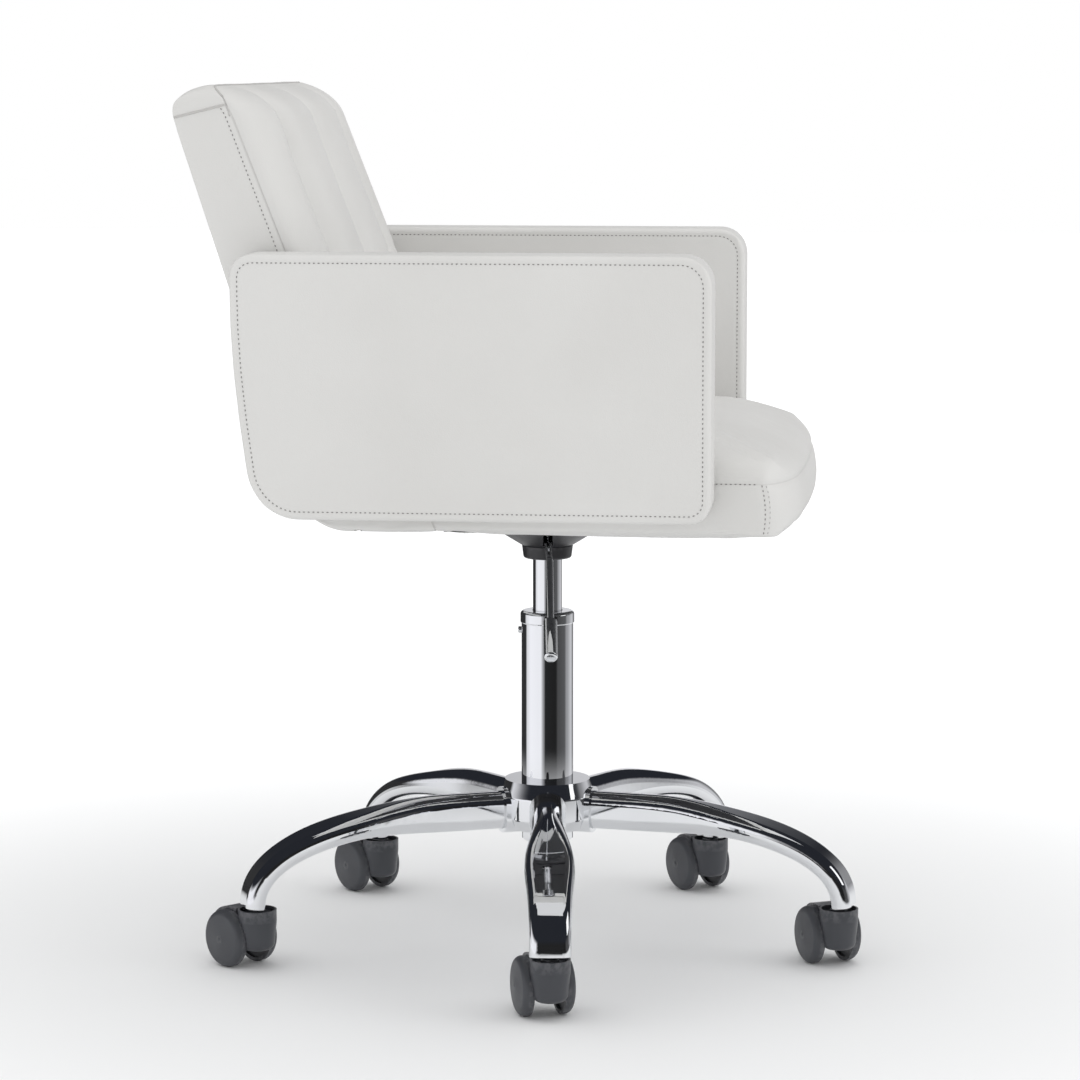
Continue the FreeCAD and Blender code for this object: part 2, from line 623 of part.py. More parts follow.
def build_lift():
    """Piston rod that turns in the column, and the gas cylinder that slides on it."""
    rest = the.column_bottom_z + the.base_plate + the.bearing_height + 0.1
    bore = the.cylinder_r - the.cylinder_wall
    groove = the.rod_foot_z + 3.0
    turned_piece("piston_rod", [
        (0.0, the.rod_foot_z), (the.rod_r, the.rod_foot_z), (the.rod_r, groove), (the.rod_r - 1.0, groove),
        (the.rod_r - 1.0, groove + the.clip_height), (the.rod_r, groove + the.clip_height),
        (the.rod_r, rest), (the.shoulder_r, rest), (the.shoulder_r, rest + 3.0), (the.rod_r, rest + 3.0),
        (the.rod_r, the.rod_top_z - the.piston_len), (bore - the.running_gap, the.rod_top_z - the.piston_len),
        (bore - the.running_gap, the.rod_top_z), (0.0, the.rod_top_z)])
    turned_piece("rod_clip", [
        (the.rod_r - 1.0, groove), (the.clip_r, groove), (the.clip_r, groove + the.clip_height),
        (the.rod_r - 1.0, groove + the.clip_height)])
    seal = the.cylinder_bottom_z + the.cylinder_end
    head = the.cylinder_top_z - the.cylinder_cap
    turned_piece("gas_cylinder", [
        (the.rod_r + the.running_gap, the.cylinder_bottom_z), (the.cylinder_r - 1.5, the.cylinder_bottom_z),
        (the.cylinder_r, the.cylinder_bottom_z + 1.5), (the.cylinder_r, the.cylinder_top_z),
        (the.button_r + the.running_gap, the.cylinder_top_z), (the.button_r + the.running_gap, head),
        (bore, head), (bore, seal), (the.rod_r + the.running_gap, seal)])


# ---------------------------------------------------------------- seat carrier and lever

def build_collar_and_dish():
    low = the.seat_collar_z
    high = low + the.seat_collar_len
    inner = the.cylinder_r + the.press_gap
    turned_piece("seat_collar", [
        (inner, low), (the.seat_collar_r - 1.6, low, 2.5), (the.seat_collar_r, high), (inner, high)])
    body = new_body("dish_cover", FreeCAD.Placement(FreeCAD.Vector(), turn_z(number(the.lever_turn))))
    rim_z = the.seat_bottom_z - the.carrier_plate
    wall = the.dish_wall
    revolve(body, "bell", [
        (inner, high), (the.seat_collar_r - 1.0, high), (the.dish_mid_r, the.dish_mid_z, 30.0),
        (the.dish_rim_r, rim_z - 8.0, 8.0), (the.dish_rim_r, rim_z), (the.dish_rim_r - wall, rim_z),
        (the.dish_rim_r - wall, rim_z - 7.0, 6.0), (the.dish_mid_r - 1.0, the.dish_mid_z + wall, 30.0),
        (the.seat_collar_r - 2.0, high + wall), (inner, high + wall)])
    slot = new_sketch(body, "slot_outline", "YZ_Plane", -(the.seat_collar_r - 2.0))
    half = the.lever_r + 1.2
    floor = high + wall + 0.2
    draw_outline(slot, [
        (-half, floor), (half, floor), (half, the.lever_low_z + 14.0), (-half, the.lever_low_z + 14.0)])
    cut = extrude(body, "slot", slot, the.dish_rim_r - the.seat_collar_r, "PartDesign::Pocket")
    cut_checked(body, cut, "lever slot")


def build_carrier():
    """Pressed plate under the seat with a welded yoke and the tube that grips the gas cylinder."""
    top = the.seat_bottom_z
    plate_low = top - the.carrier_plate
    tube_low = the.seat_collar_z + the.seat_collar_len + the.dish_wall + 1.0
    yoke_low = the.dish_mid_z + the.dish_wall + 1.0
    half = the.carrier_side / 2
    body = new_body("carrier", FreeCAD.Placement(FreeCAD.Vector(), turn_z(number(the.lever_turn))))
    plate = new_sketch(body, "plate_outline", "XY_Plane", plate_low)
    draw_outline(plate, [(-half, -half, 14.0), (half, -half, 14.0), (half, half, 14.0), (-half, half, 14.0)])
    extrude(body, "plate", plate, the.carrier_plate)
    ends = (-(the.lever_pivot_x + the.lever_eye_r + 1.5), the.cylinder_r + the.socket_wall + 4.0)
    for side, name in ((1, "left"), (-1, "right")):
        near, far = side * the.yoke_gap, side * (the.yoke_gap + the.yoke_wall)
        low_y, high_y = (near, far) if side > 0 else (far, near)
        cheek = new_sketch(body, f"{name}_cheek", "XY_Plane", yoke_low)
        draw_outline(cheek, [(ends[0], low_y), (ends[1], low_y), (ends[1], high_y), (ends[0], high_y)])
        extrude(body, f"{name}_yoke", cheek, plate_low - yoke_low + 0.5)
    tube = new_sketch(body, "tube_outline", "XY_Plane", tube_low)
    draw_circle(tube, 0.0, 0.0, the.cylinder_r + the.socket_wall + 0.5)
    extrude(body, "tube", tube, the.cylinder_top_z - tube_low)
    bore = new_sketch(body, "tube_bore", "XY_Plane", tube_low - 1.0)
    draw_circle(bore, 0.0, 0.0, the.cylinder_r + the.press_gap)
    cut = extrude(body, "bore", bore, the.cylinder_top_z + 2.0 - tube_low, "PartDesign::Pocket", back=True)
    cut_checked(body, cut, "carrier bore")
    holes = new_sketch(body, "pin_holes", "XZ_Plane")
    draw_circle(holes, -the.lever_pivot_x, the.lever_pivot_z, the.pin_r)
    cut = extrude(body, "pin_bore", holes, 4 * the.yoke_gap, "PartDesign::Pocket", middle=True)
    cut_checked(body, cut, "carrier pin bore")
    bolts = new_sketch(body, "bolt_hole", "XY_Plane", plate_low)
    reach = half - 20.0
    for x, y in ((reach, reach), (-reach, reach), (-reach, -reach), (reach, -reach)):
        draw_circle(bolts, x, y, 4.2)
    cut = extrude(body, "bolt_bores", bolts, the.carrier_plate, "PartDesign::Pocket", back=True)
    cut_checked(body, cut, "carrier bolt holes")
    pin = doc.addObject("Part::Cylinder", "lever_pin")
    pin.Label = pin.Name
    pin.setExpression("Radius", the.pin_r.formula)
    pin.setExpression("Height", (2 * (the.yoke_gap + the.yoke_wall)).formula)
    lying = FreeCAD.Placement(vector(-the.lever_pivot_x, the.yoke_gap + the.yoke_wall, the.lever_pivot_z),
                              FreeCAD.Rotation(FreeCAD.Vector(1, 0, 0), 90))
    pin.Placement = FreeCAD.Placement(FreeCAD.Vector(), turn_z(number(the.lever_turn))) * lying
    parts[pin.Name] = pin


def build_button():
    button = doc.addObject("Part::Cylinder", "release_button")
    button.Label = button.Name
    button.setExpression("Radius", the.button_r.formula)
    button.setExpression("Height", (the.button_rise + the.cylinder_cap - 4.0).formula)
    button.Placement = FreeCAD.Placement(vector(0, 0, the.cylinder_top_z - the.cylinder_cap + 4.0),
                                         FreeCAD.Rotation())
    parts[button.Name] = button


def lever_route():
    """Corners of the lever's rod in its own upright plane, (x, z), from the tip over the button outwards."""
    tip_z = the.cylinder_top_z + the.button_rise + 0.2 + the.lever_r
    return [
        (the.button_r - 1.0, tip_z),
        (-the.lever_pivot_x, tip_z), (-the.lever_pivot_x, the.lever_low_z),
        (-the.lever_bend_x, the.lever_low_z - the.lever_drop), (-the.lever_end_x, the.lever_end_z)]


def build_lever():
    body = new_body("release_lever", FreeCAD.Placement(FreeCAD.Vector(), turn_z(number(the.lever_turn))))
    route = lever_route()
    path = new_sketch(body, "route", "XZ_Plane")
    draw_route(path, route, the.lever_round * 0.6)
    section = new_sketch(body, "section", "YZ_Plane", route[0][0])
    draw_circle(section, 0.0, route[0][1], the.lever_r)
    pipe = body.newObject("PartDesign::AdditivePipe", "lever_rod")
    pipe.Profile = section
    pipe.Spine = path
    eye = new_sketch(body, "eye_outline", "XZ_Plane")
    draw_circle(eye, -the.lever_pivot_x, the.lever_pivot_z, the.lever_eye_r)
    extrude(body, "eye", eye, 2 * (the.lever_r + 1.0), middle=True)
    hole = new_sketch(body, "eye_hole", "XZ_Plane")
    draw_circle(hole, -the.lever_pivot_x, the.lever_pivot_z, the.pin_r + the.running_gap)
    cut = extrude(body, "eye_bore", hole, 4 * the.lever_eye_r, "PartDesign::Pocket", middle=True)
    cut_checked(body, cut, "lever eye")


def draw_route(sketch, corners, radius):
    """An open route of straight runs joined by tangent arcs."""
    spots = [vector(across, up, 0) for across, up in corners]
    ends = [spots[0]]
    arcs = []
    for i in range(1, len(spots) - 1):
        first, last, centre, left = rounded_corner(spots[i - 1], spots[i], spots[i + 1], number(radius))
        arcs.append((first, last, centre, left))
        ends += [first, last]
    ends.append(spots[-1])
    lines = [sketch.addGeometry(Part.LineSegment(ends[2 * i], ends[2 * i + 1]), False)
             for i in range(len(spots) - 1)]
    pin_point(sketch, lines[0], 1, *corners[0])
    pin_point(sketch, lines[-1], 2, *corners[-1])
    for i, (first, last, centre, left) in enumerate(arcs):
        begin, finish = (first, last) if left else (last, first)
        angles = [math.atan2(end.y - centre.y, end.x - centre.x) for end in (begin, finish)]
        circle = Part.Circle(centre, FreeCAD.Vector(0, 0, 1), number(radius))
        arc = sketch.addGeometry(Part.ArcOfCircle(circle, *angles), False)
        entry, leave = (1, 2) if left else (2, 1)
        sketch.addConstraint(Sketcher.Constraint("Tangent", lines[i], 2, arc, entry))
        sketch.addConstraint(Sketcher.Constraint("Tangent", arc, leave, lines[i + 1], 1))
        bind(sketch, "Radius", (arc,), radius)
        mark = sketch.addGeometry(Part.Point(spots[i + 1]), True)
        pin_point(sketch, mark, 1, *corners[i + 1])
        sketch.addConstraint(Sketcher.Constraint("PointOnObject", mark, 1, lines[i]))
        sketch.addConstraint(Sketcher.Constraint("PointOnObject", mark, 1, lines[i + 1]))


def build_handle():
    """Sleeve over the lever's lower end, closed by a low dome."""
    bend, end = [vector(x, 0, z) for x, z in lever_route()[-2:]]
    along = (end - bend).normalize()
    place = FreeCAD.Placement(end - along * (number(the.handle_len) - 4.0),
                              FreeCAD.Rotation(FreeCAD.Vector(0, 0, 1), along))
    length = the.handle_len
    bore = the.lever_r + the.press_gap
    turned_piece("lever_handle", [
        (bore, 0.0), (the.handle_r - 1.0, 0.0), (the.handle_r, 1.0), (the.handle_r, length, 2.0),
        (0.0, length), (0.0, length - 4.0), (bore, length - 4.0)],
        FreeCAD.Placement(FreeCAD.Vector(), turn_z(number(the.lever_turn))) * place)


# ---------------------------------------------------------------- seat

def back_front(z, crown=0.0):
    """Front of the back at a height; crown moves it forward."""
    return the.back_front_y + the.back_front_slope * (z - the.back_ref_z) - crown


def back_rear(z, depth=0.0):
    """Rear of the back at a height; depth moves it forward."""
    return the.back_rear_y + the.back_rear_slope * (z - the.back_ref_z) - depth


def build_seat():
    low, high = the.seat_bottom_z, the.seat_top_z
    body = new_body("seat_cushion")
    outline = new_sketch(body, "outline", "YZ_Plane")
    draw_outline(outline, [
        (-the.seat_front_y, low, the.seat_foot_round),
        (back_front(low, the.back_crown + the.pad_gap), low),
        (back_front(high, the.back_crown + the.pad_gap), high),
        (-the.seat_front_y, high, the.seat_front_round)])
    block = extrude(body, "block", outline, 2 * the.seat_half, middle=True)
    recess = new_sketch(body, "recess_outline", "XY_Plane", low)
    side = the.board_half + the.pad_gap
    draw_outline(recess, [
        (-side, -(the.board_front_y + the.pad_gap)), (side, -(the.board_front_y + the.pad_gap)),
        (side, board_rear() + the.pad_gap), (-side, board_rear() + the.pad_gap)])
    depth = the.board_lift + the.board_thick + the.pad_gap
    rounded = round_edges(body, "side_rounds", block, the.seat_edge_round,
                          lambda middle, edge: abs(middle.x) > number(the.seat_half) - 0.1
                          and middle.z > number(high) - 0.1)
    cut = extrude(body, "recess", recess, depth, "PartDesign::Pocket", back=True)
    cut_checked(body, cut, "seat recess")
    body.Tip = cut
    board = new_body("seat_board")
    plan = new_sketch(board, "plan", "XY_Plane", low + the.board_lift)
    draw_outline(plan, [
        (-the.board_half, -the.board_front_y, 20.0), (the.board_half, -the.board_front_y, 20.0),
        (the.board_half, board_rear()), (-the.board_half, board_rear())])
    extrude(board, "sheet", plan, the.board_thick)
    cover = new_body("dust_cover")
    plan = new_sketch(cover, "plan", "XY_Plane", low)
    draw_outline(plan, [
        (-the.board_half, -the.board_front_y, 20.0), (the.board_half, -the.board_front_y, 20.0),
        (the.board_half, board_rear()), (-the.board_half, board_rear())])
    extrude(cover, "sheet", plan, the.dust_cover)


def board_rear():
    """Rear edge of the seat board, just ahead of the cushion's rear wall."""
    return back_front(the.seat_bottom_z, the.back_crown + 12.0)


# ---------------------------------------------------------------- back

def build_back():
    """Crowned cushion with a board let into its rear, a padded rear panel, and the rail that carries them."""
    low = the.rail_bottom_z + the.rail_height
    foot = low + the.pad_gap
    top = the.back_top_z
    board_top = top - the.back_board_inset
    board_half = the.back_half - the.back_board_inset
    rear, front = the.panel_thick, the.panel_thick + the.back_board_thick
    cushion = new_body("back_cushion")
    outline = new_sketch(cushion, "outline", "YZ_Plane")
    lip = board_top + the.pad_gap
    draw_outline(outline, [
        (back_front(foot, the.back_crown), foot), (back_rear(foot, rear + the.pad_gap), foot),
        (back_rear(lip, rear + the.pad_gap), lip), (back_rear(lip), lip),
        (back_rear(top), top, the.back_rear_round),
        (back_front(top, the.back_crown), top, the.back_top_round)])
    block = extrude(cushion, "block", outline, 2 * the.back_half, middle=True)
    round_edges(cushion, "side_rounds", block, the.back_edge_round,
                lambda middle, edge: abs(middle.x) > number(the.back_half) - 0.1
                and edge.Length > 100 and middle.y < number(back_front(Size(middle.z, "0"), -10.0)))
    slot = new_sketch(cushion, "slot_outline", "YZ_Plane")
    reach = front + the.pad_gap
    draw_outline(slot, [
        (back_rear(foot - 5.0, reach), foot - 5.0), (back_rear(foot - 5.0, rear), foot - 5.0),
        (back_rear(lip, rear), lip), (back_rear(lip, reach), lip)])
    cut = extrude(cushion, "slot", slot, 2 * (board_half + the.pad_gap), "PartDesign::Pocket", middle=True)
    cut_checked(cushion, cut, "back board recess")
    board = new_body("back_board")
    outline = new_sketch(board, "outline", "YZ_Plane")
    draw_outline(outline, [
        (back_rear(foot, front), foot), (back_rear(foot, rear), foot),
        (back_rear(board_top, rear), board_top), (back_rear(board_top, front), board_top)])
    extrude(board, "sheet", outline, 2 * board_half, middle=True)
    panel = new_body("rear_panel")
    outline = new_sketch(panel, "outline", "YZ_Plane")
    draw_outline(outline, [
        (back_rear(foot, rear), foot), (back_rear(foot), foot),
        (back_rear(board_top), board_top), (back_rear(board_top, rear), board_top)])
    extrude(panel, "sheet", outline, 2 * the.back_half, middle=True)
    rail = new_body("back_rail")
    outline = new_sketch(rail, "outline", "YZ_Plane")
    draw_outline(outline, [
        (back_front(the.rail_bottom_z, the.back_crown), the.rail_bottom_z),
        (back_rear(the.rail_bottom_z), the.rail_bottom_z, the.rail_round),
        (back_rear(low), low), (back_front(low, the.back_crown), low)])
    extrude(rail, "bar", outline, 2 * the.back_half, middle=True)


# ---------------------------------------------------------------- arms

def build_arm(name, side):
    body = new_body(name)
    start = the.arm_inner if side > 0 else -(the.arm_inner + the.arm_thick)
    outline = new_sketch(body, "outline", "YZ_Plane", start)
    draw_outline(outline, [
        (-the.arm_front_y, the.arm_bottom_z, 20.0), (the.arm_foot_y, the.arm_bottom_z, 35.0),
        (the.arm_rear_y, the.arm_knee_z, 200.0), (the.arm_rear_y, the.arm_top_z, 20.0),
        (-the.arm_front_y, the.arm_top_z, 27.0)])
    block = extrude(body, "block", outline, the.arm_thick)
    round_edges(body, "long_rounds", block, the.arm_edge_round,
                lambda middle, edge: min(abs(abs(middle.x) - number(the.arm_inner)),
                                         abs(abs(middle.x) - number(the.arm_inner + the.arm_thick))) < 0.1)


# ---------------------------------------------------------------- the whole chair

build_hub()
for index, (direction, trailing) in enumerate(zip(leg_directions, castor_directions), start=1):
    build_leg(index, direction)
    build_stem_bush(index, direction)
    place = castor_place(direction, trailing)
    build_castor_housing(index, place)
    build_castor_stem(index, place)
    build_castor_axle(index, place)
    build_castor_wheel(index, 1, "left", place)
    build_castor_wheel(index, -1, "right", place)
build_column()
build_screw()
build_lift()
build_collar_and_dish()
build_carrier()
build_button()
build_lever()
build_handle()
build_seat()
build_back()
build_arm("arm_right", -1)
build_arm("arm_left", 1)
doc.recompute()

faults = [f"{item.Name}: {item.State}" for item in doc.Objects if {"Invalid", "Error"} & set(item.State)]
for name, part in parts.items():
    if part.Shape.isNull() or not part.Shape.isValid() or len(part.Shape.Solids) != 1:
        faults.append(f"{name}: its shape is not one valid solid")
if faults:
    raise RuntimeError("; ".join(faults))

os.makedirs("parts", exist_ok=True)
for name, part in parts.items():
    part.Shape.exportStep(f"parts/{name}.step")
    box = part.Shape.BoundBox
    print(f"{name:24s} volume {part.Shape.Volume / 1000:9.2f} cm3  x {box.XMin:7.1f} {box.XMax:7.1f}  "
          f"y {box.YMin:7.1f} {box.YMax:7.1f}  z {box.ZMin:7.1f} {box.ZMax:7.1f}")
print(len(parts), "sub-parts")
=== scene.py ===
import bpy, bmesh, json, math
import numpy as np
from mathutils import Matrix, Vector
from mathutils.bvhtree import BVHTree


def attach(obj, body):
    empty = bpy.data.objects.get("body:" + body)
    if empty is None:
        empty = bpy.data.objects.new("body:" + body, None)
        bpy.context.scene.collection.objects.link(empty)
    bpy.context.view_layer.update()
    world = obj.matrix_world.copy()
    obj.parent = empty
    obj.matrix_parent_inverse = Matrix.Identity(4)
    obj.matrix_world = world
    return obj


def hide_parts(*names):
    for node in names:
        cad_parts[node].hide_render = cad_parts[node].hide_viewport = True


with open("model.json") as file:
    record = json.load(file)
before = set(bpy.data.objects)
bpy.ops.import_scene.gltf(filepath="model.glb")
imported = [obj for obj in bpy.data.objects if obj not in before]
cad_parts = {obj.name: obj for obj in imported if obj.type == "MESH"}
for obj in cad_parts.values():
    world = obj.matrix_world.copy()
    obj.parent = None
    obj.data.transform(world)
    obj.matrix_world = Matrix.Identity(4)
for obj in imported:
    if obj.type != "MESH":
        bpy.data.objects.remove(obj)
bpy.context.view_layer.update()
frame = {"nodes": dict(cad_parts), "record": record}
mm = 0.001

# ---- camera and studio

viewSettings = {
    "cameraPlace": (-3554.8, -373.6, 857.6),  # mm
    "turn": 6.115,       # degrees from +X
    "pitch": -7.33,      # degrees below level
    "lens": 125.06,
    "floorSize": 30.0,   # metres
    "floorTone": (0.86, 0.865, 0.87, 1.0),
    "skyTone": (1.0, 1.0, 1.0, 1.0),
    "skyPower": 1.0,
}


def makeCamera():
    data = bpy.data.cameras.new("camera")
    data.lens = viewSettings["lens"]
    data.sensor_width = 36.0
    data.clip_start, data.clip_end = 0.1, 60.0
    camera = bpy.data.objects.new("camera", data)
    turn, pitch = math.radians(viewSettings["turn"]), math.radians(viewSettings["pitch"])
    look = Vector((math.cos(pitch) * math.cos(turn), math.cos(pitch) * math.sin(turn), math.sin(pitch)))
    camera.location = Vector(viewSettings["cameraPlace"]) * mm
    camera.rotation_euler = look.to_track_quat("-Z", "Y").to_euler()
    bpy.context.scene.collection.objects.link(camera)
    bpy.context.scene.camera = camera


def softBox(name, place, aim, size, power):
    data = bpy.data.lights.new(name, "AREA")
    data.shape = "RECTANGLE"
    data.size, data.size_y = size
    data.energy = power
    lamp = bpy.data.objects.new(name, data)
    lamp.location = place
    lamp.rotation_euler = (Vector(aim) - Vector(place)).to_track_quat("-Z", "Y").to_euler()
    bpy.context.scene.collection.objects.link(lamp)
    return lamp


def groundPlane(size, material):
    half = size / 2
    mesh = bpy.data.meshes.new("floor")
    corners = [(-half, -half, 0), (half, -half, 0), (half, half, 0), (-half, half, 0)]
    mesh.from_pydata(corners, [], [(0, 1, 2, 3)])
    mesh.materials.append(material)
    plane = bpy.data.objects.new("floor", mesh)
    bpy.context.scene.collection.objects.link(plane)


# ---- shader parts shared by several finishes

def newGroup(name, inputs, outputs):
    group = bpy.data.node_groups.new(name, "ShaderNodeTree")
    for label, kind, value in inputs:
        socket = group.interface.new_socket(label, in_out="INPUT", socket_type=kind)
        if value is not None:
            socket.default_value = value
    for label, kind in outputs:
        group.interface.new_socket(label, in_out="OUTPUT", socket_type=kind)
    return group, group.nodes.new("NodeGroupInput"), group.nodes.new("NodeGroupOutput")


def addNode(tree, kind, **settings):
    node = tree.nodes.new(kind)
    for key, value in settings.items():
        if key.startswith("in_"):
            node.inputs[key[3:].replace("_", " ")].default_value = value
        else:
            setattr(node, key, value)
    return node


def maths(tree, operation, first, second=None, clamp=False):
    node = tree.nodes.new("ShaderNodeMath")
    node.operation, node.use_clamp = operation, clamp
    for slot, value in enumerate((first, second)):
        if value is None:
            continue
        if isinstance(value, (int, float)):
            node.inputs[slot].default_value = value
        else:
            tree.links.new(value, node.inputs[slot])
    return node.outputs[0]


def remap(tree, value, fromLow, fromHigh, toLow, toHigh, smooth=False):
    node = tree.nodes.new("ShaderNodeMapRange")
    node.interpolation_type = "SMOOTHSTEP" if smooth else "LINEAR"
    tree.links.new(value, node.inputs["Value"])
    ends = {"From Min": fromLow, "From Max": fromHigh, "To Min": toLow, "To Max": toHigh}
    for label, number in ends.items():
        if isinstance(number, (int, float)):
            node.inputs[label].default_value = number
        else:
            tree.links.new(number, node.inputs[label])
    return node.outputs["Result"]


def pebbleGrain():
    # the fine cells and soft wrinkles of finished leather, as a height and a tone
    group, enter, leave = newGroup("pebbleGrain", [
        ("Grain Scale", "NodeSocketFloat", 900.0), ("Wrinkle Scale", "NodeSocketFloat", 60.0),
        ("Wrinkle Share", "NodeSocketFloat", 0.3)],
        [("Height", "NodeSocketFloat"), ("Tone", "NodeSocketFloat")])
    place = addNode(group, "ShaderNodeTexCoord").outputs["Object"]
    cells = addNode(group, "ShaderNodeTexVoronoi", feature="SMOOTH_F1", in_Smoothness=0.35)
    group.links.new(place, cells.inputs["Vector"])
    group.links.new(enter.outputs["Grain Scale"], cells.inputs["Scale"])
    wrinkle = addNode(group, "ShaderNodeTexNoise", in_Detail=4.0, in_Roughness=0.55, in_Distortion=0.4)
    group.links.new(place, wrinkle.inputs["Vector"])
    group.links.new(enter.outputs["Wrinkle Scale"], wrinkle.inputs["Scale"])
    low = maths(group, "MULTIPLY", wrinkle.outputs["Fac"], enter.outputs["Wrinkle Share"])
    group.links.new(maths(group, "ADD", cells.outputs["Distance"], low), leave.inputs["Height"])
    patch = addNode(group, "ShaderNodeTexNoise", in_Scale=7.0, in_Detail=3.0)
    group.links.new(place, patch.inputs["Vector"])
    group.links.new(patch.outputs["Fac"], leave.inputs["Tone"])
    return group


def edgeWear():
    # pale or bare metal where a part's edges stand out, broken up by noise
    group, enter, leave = newGroup("edgeWear", [
        ("Reach", "NodeSocketFloat", 0.53), ("Breakup Scale", "NodeSocketFloat", 120.0)],
        [("Mask", "NodeSocketFloat")])
    point = addNode(group, "ShaderNodeNewGeometry").outputs["Pointiness"]
    edge = remap(group, point, enter.outputs["Reach"], 0.62, 0.0, 1.0)
    noise = addNode(group, "ShaderNodeTexNoise", in_Detail=5.0)
    group.links.new(addNode(group, "ShaderNodeTexCoord").outputs["Object"], noise.inputs["Vector"])
    group.links.new(enter.outputs["Breakup Scale"], noise.inputs["Scale"])
    broken = remap(group, noise.outputs["Fac"], 0.42, 0.6, 0.0, 1.0)
    group.links.new(maths(group, "MULTIPLY", edge, broken, True), leave.inputs["Mask"])
    return group


def faintSmudge():
    # slow variation of gloss, as hands and polishing leave
    group, enter, leave = newGroup("faintSmudge", [
        ("Scale", "NodeSocketFloat", 14.0), ("Low", "NodeSocketFloat", 0.03),
        ("High", "NodeSocketFloat", 0.09)], [("Roughness", "NodeSocketFloat")])
    noise = addNode(group, "ShaderNodeTexNoise", in_Detail=6.0, in_Roughness=0.6, in_Distortion=0.8)
    group.links.new(addNode(group, "ShaderNodeTexCoord").outputs["Object"], noise.inputs["Vector"])
    group.links.new(enter.outputs["Scale"], noise.inputs["Scale"])
    gloss = remap(group, noise.outputs["Fac"], 0.35, 0.68, enter.outputs["Low"], enter.outputs["High"])
    group.links.new(gloss, leave.inputs["Roughness"])
    return group


def seamLine():
    # from the distance to the nearest seam: the fold's height and its painted shade
    group, enter, leave = newGroup("seamLine", [
        ("Distance", "NodeSocketFloat", 0.02), ("Width", "NodeSocketFloat", 0.0011)],
        [("Height", "NodeSocketFloat"), ("Shade", "NodeSocketFloat")])
    distance, width = enter.outputs["Distance"], enter.outputs["Width"]
    group.links.new(remap(group, distance, 0.0, width, 0.0, 1.0, True), leave.inputs["Height"])
    shaded = maths(group, "MULTIPLY", width, 1.6)
    group.links.new(remap(group, distance, 0.0, shaded, 1.0, 0.0, True), leave.inputs["Shade"])
    return group


shared = {"grain": pebbleGrain(), "wear": edgeWear(), "smudge": faintSmudge(), "seam": seamLine()}


def useGroup(tree, which, **values):
    node = tree.nodes.new("ShaderNodeGroup")
    node.node_tree = shared[which]
    for label, value in values.items():
        node.inputs[label.replace("_", " ")].default_value = value
    return node


def newFinish(name, **values):
    material = bpy.data.materials.new(name)
    material.use_nodes = True
    shader = material.node_tree.nodes["Principled BSDF"]
    for label, value in values.items():
        shader.inputs[label.replace("_", " ")].default_value = value
    return material, material.node_tree, shader


def mixTone(tree, factor, first, second):
    node = tree.nodes.new("ShaderNodeMix")
    node.data_type = "RGBA"
    if isinstance(factor, (int, float)):
        node.inputs["Factor"].default_value = factor
    else:
        tree.links.new(factor, node.inputs["Factor"])
    for slot, tone in ((6, first), (7, second)):
        if isinstance(tone, tuple):
            node.inputs[slot].default_value = (*tone, 1.0)
        else:
            tree.links.new(tone, node.inputs[slot])
    return node.outputs[2]


def bump(tree, height, strength, depth, shader, onto=None):
    node = addNode(tree, "ShaderNodeBump", in_Strength=strength, in_Distance=depth)
    tree.links.new(height, node.inputs["Height"])
    if onto is not None:
        tree.links.new(onto, node.inputs["Normal"])
    if shader is not None:
        tree.links.new(node.outputs["Normal"], shader.inputs["Normal"])
    return node.outputs["Normal"]


# seamShade is the colour of the painted shade laid along each seam
leatherLook = {
    "light": (0.665, 0.66, 0.645), "dark": (0.64, 0.634, 0.618), "seamShade": (0.40, 0.39, 0.375),
    "grainScale": 950.0, "grainDepth": 0.00012, "gloss": (0.40, 0.52), "seamWidth": 0.0009,
}


def whiteLeather():
    material, tree, shader = newFinish("whiteLeather", Specular_IOR_Level=0.42, Sheen_Weight=0.08)
    grain = useGroup(tree, "grain", Grain_Scale=leatherLook["grainScale"], Wrinkle_Scale=55.0,
                     Wrinkle_Share=0.5)
    seam = useGroup(tree, "seam", Width=leatherLook["seamWidth"])
    distance = addNode(tree, "ShaderNodeAttribute", attribute_name="seamDistance")
    tree.links.new(distance.outputs["Fac"], seam.inputs["Distance"])
    tone = mixTone(tree, remap(tree, grain.outputs["Tone"], 0.35, 0.65, 0.0, 1.0), leatherLook["dark"],
                   leatherLook["light"])
    # painted shade: the leather darkens towards seamShade close to each seam
    tree.links.new(mixTone(tree, maths(tree, "MULTIPLY", seam.outputs["Shade"], 0.6), tone,
                           leatherLook["seamShade"]), shader.inputs["Base Color"])
    low, high = leatherLook["gloss"]
    tree.links.new(remap(tree, grain.outputs["Height"], 0.2, 0.9, low, high), shader.inputs["Roughness"])
    fine = bump(tree, grain.outputs["Height"], 0.55, leatherLook["grainDepth"], None)
    bump(tree, seam.outputs["Height"], 0.9, 0.0009, shader, onto=fine)
    return material


def threadFinish():
    material, tree, shader = newFinish("greyThread", Roughness=0.75, Sheen_Weight=0.3)
    noise = addNode(tree, "ShaderNodeTexNoise", in_Scale=1500.0, in_Detail=2.0)
    tree.links.new(addNode(tree, "ShaderNodeTexCoord").outputs["Object"], noise.inputs["Vector"])
    tree.links.new(mixTone(tree, noise.outputs["Fac"], (0.14, 0.137, 0.13), (0.26, 0.255, 0.245)),
                   shader.inputs["Base Color"])
    bump(tree, noise.outputs["Fac"], 0.6, 0.0002, shader)
    return material
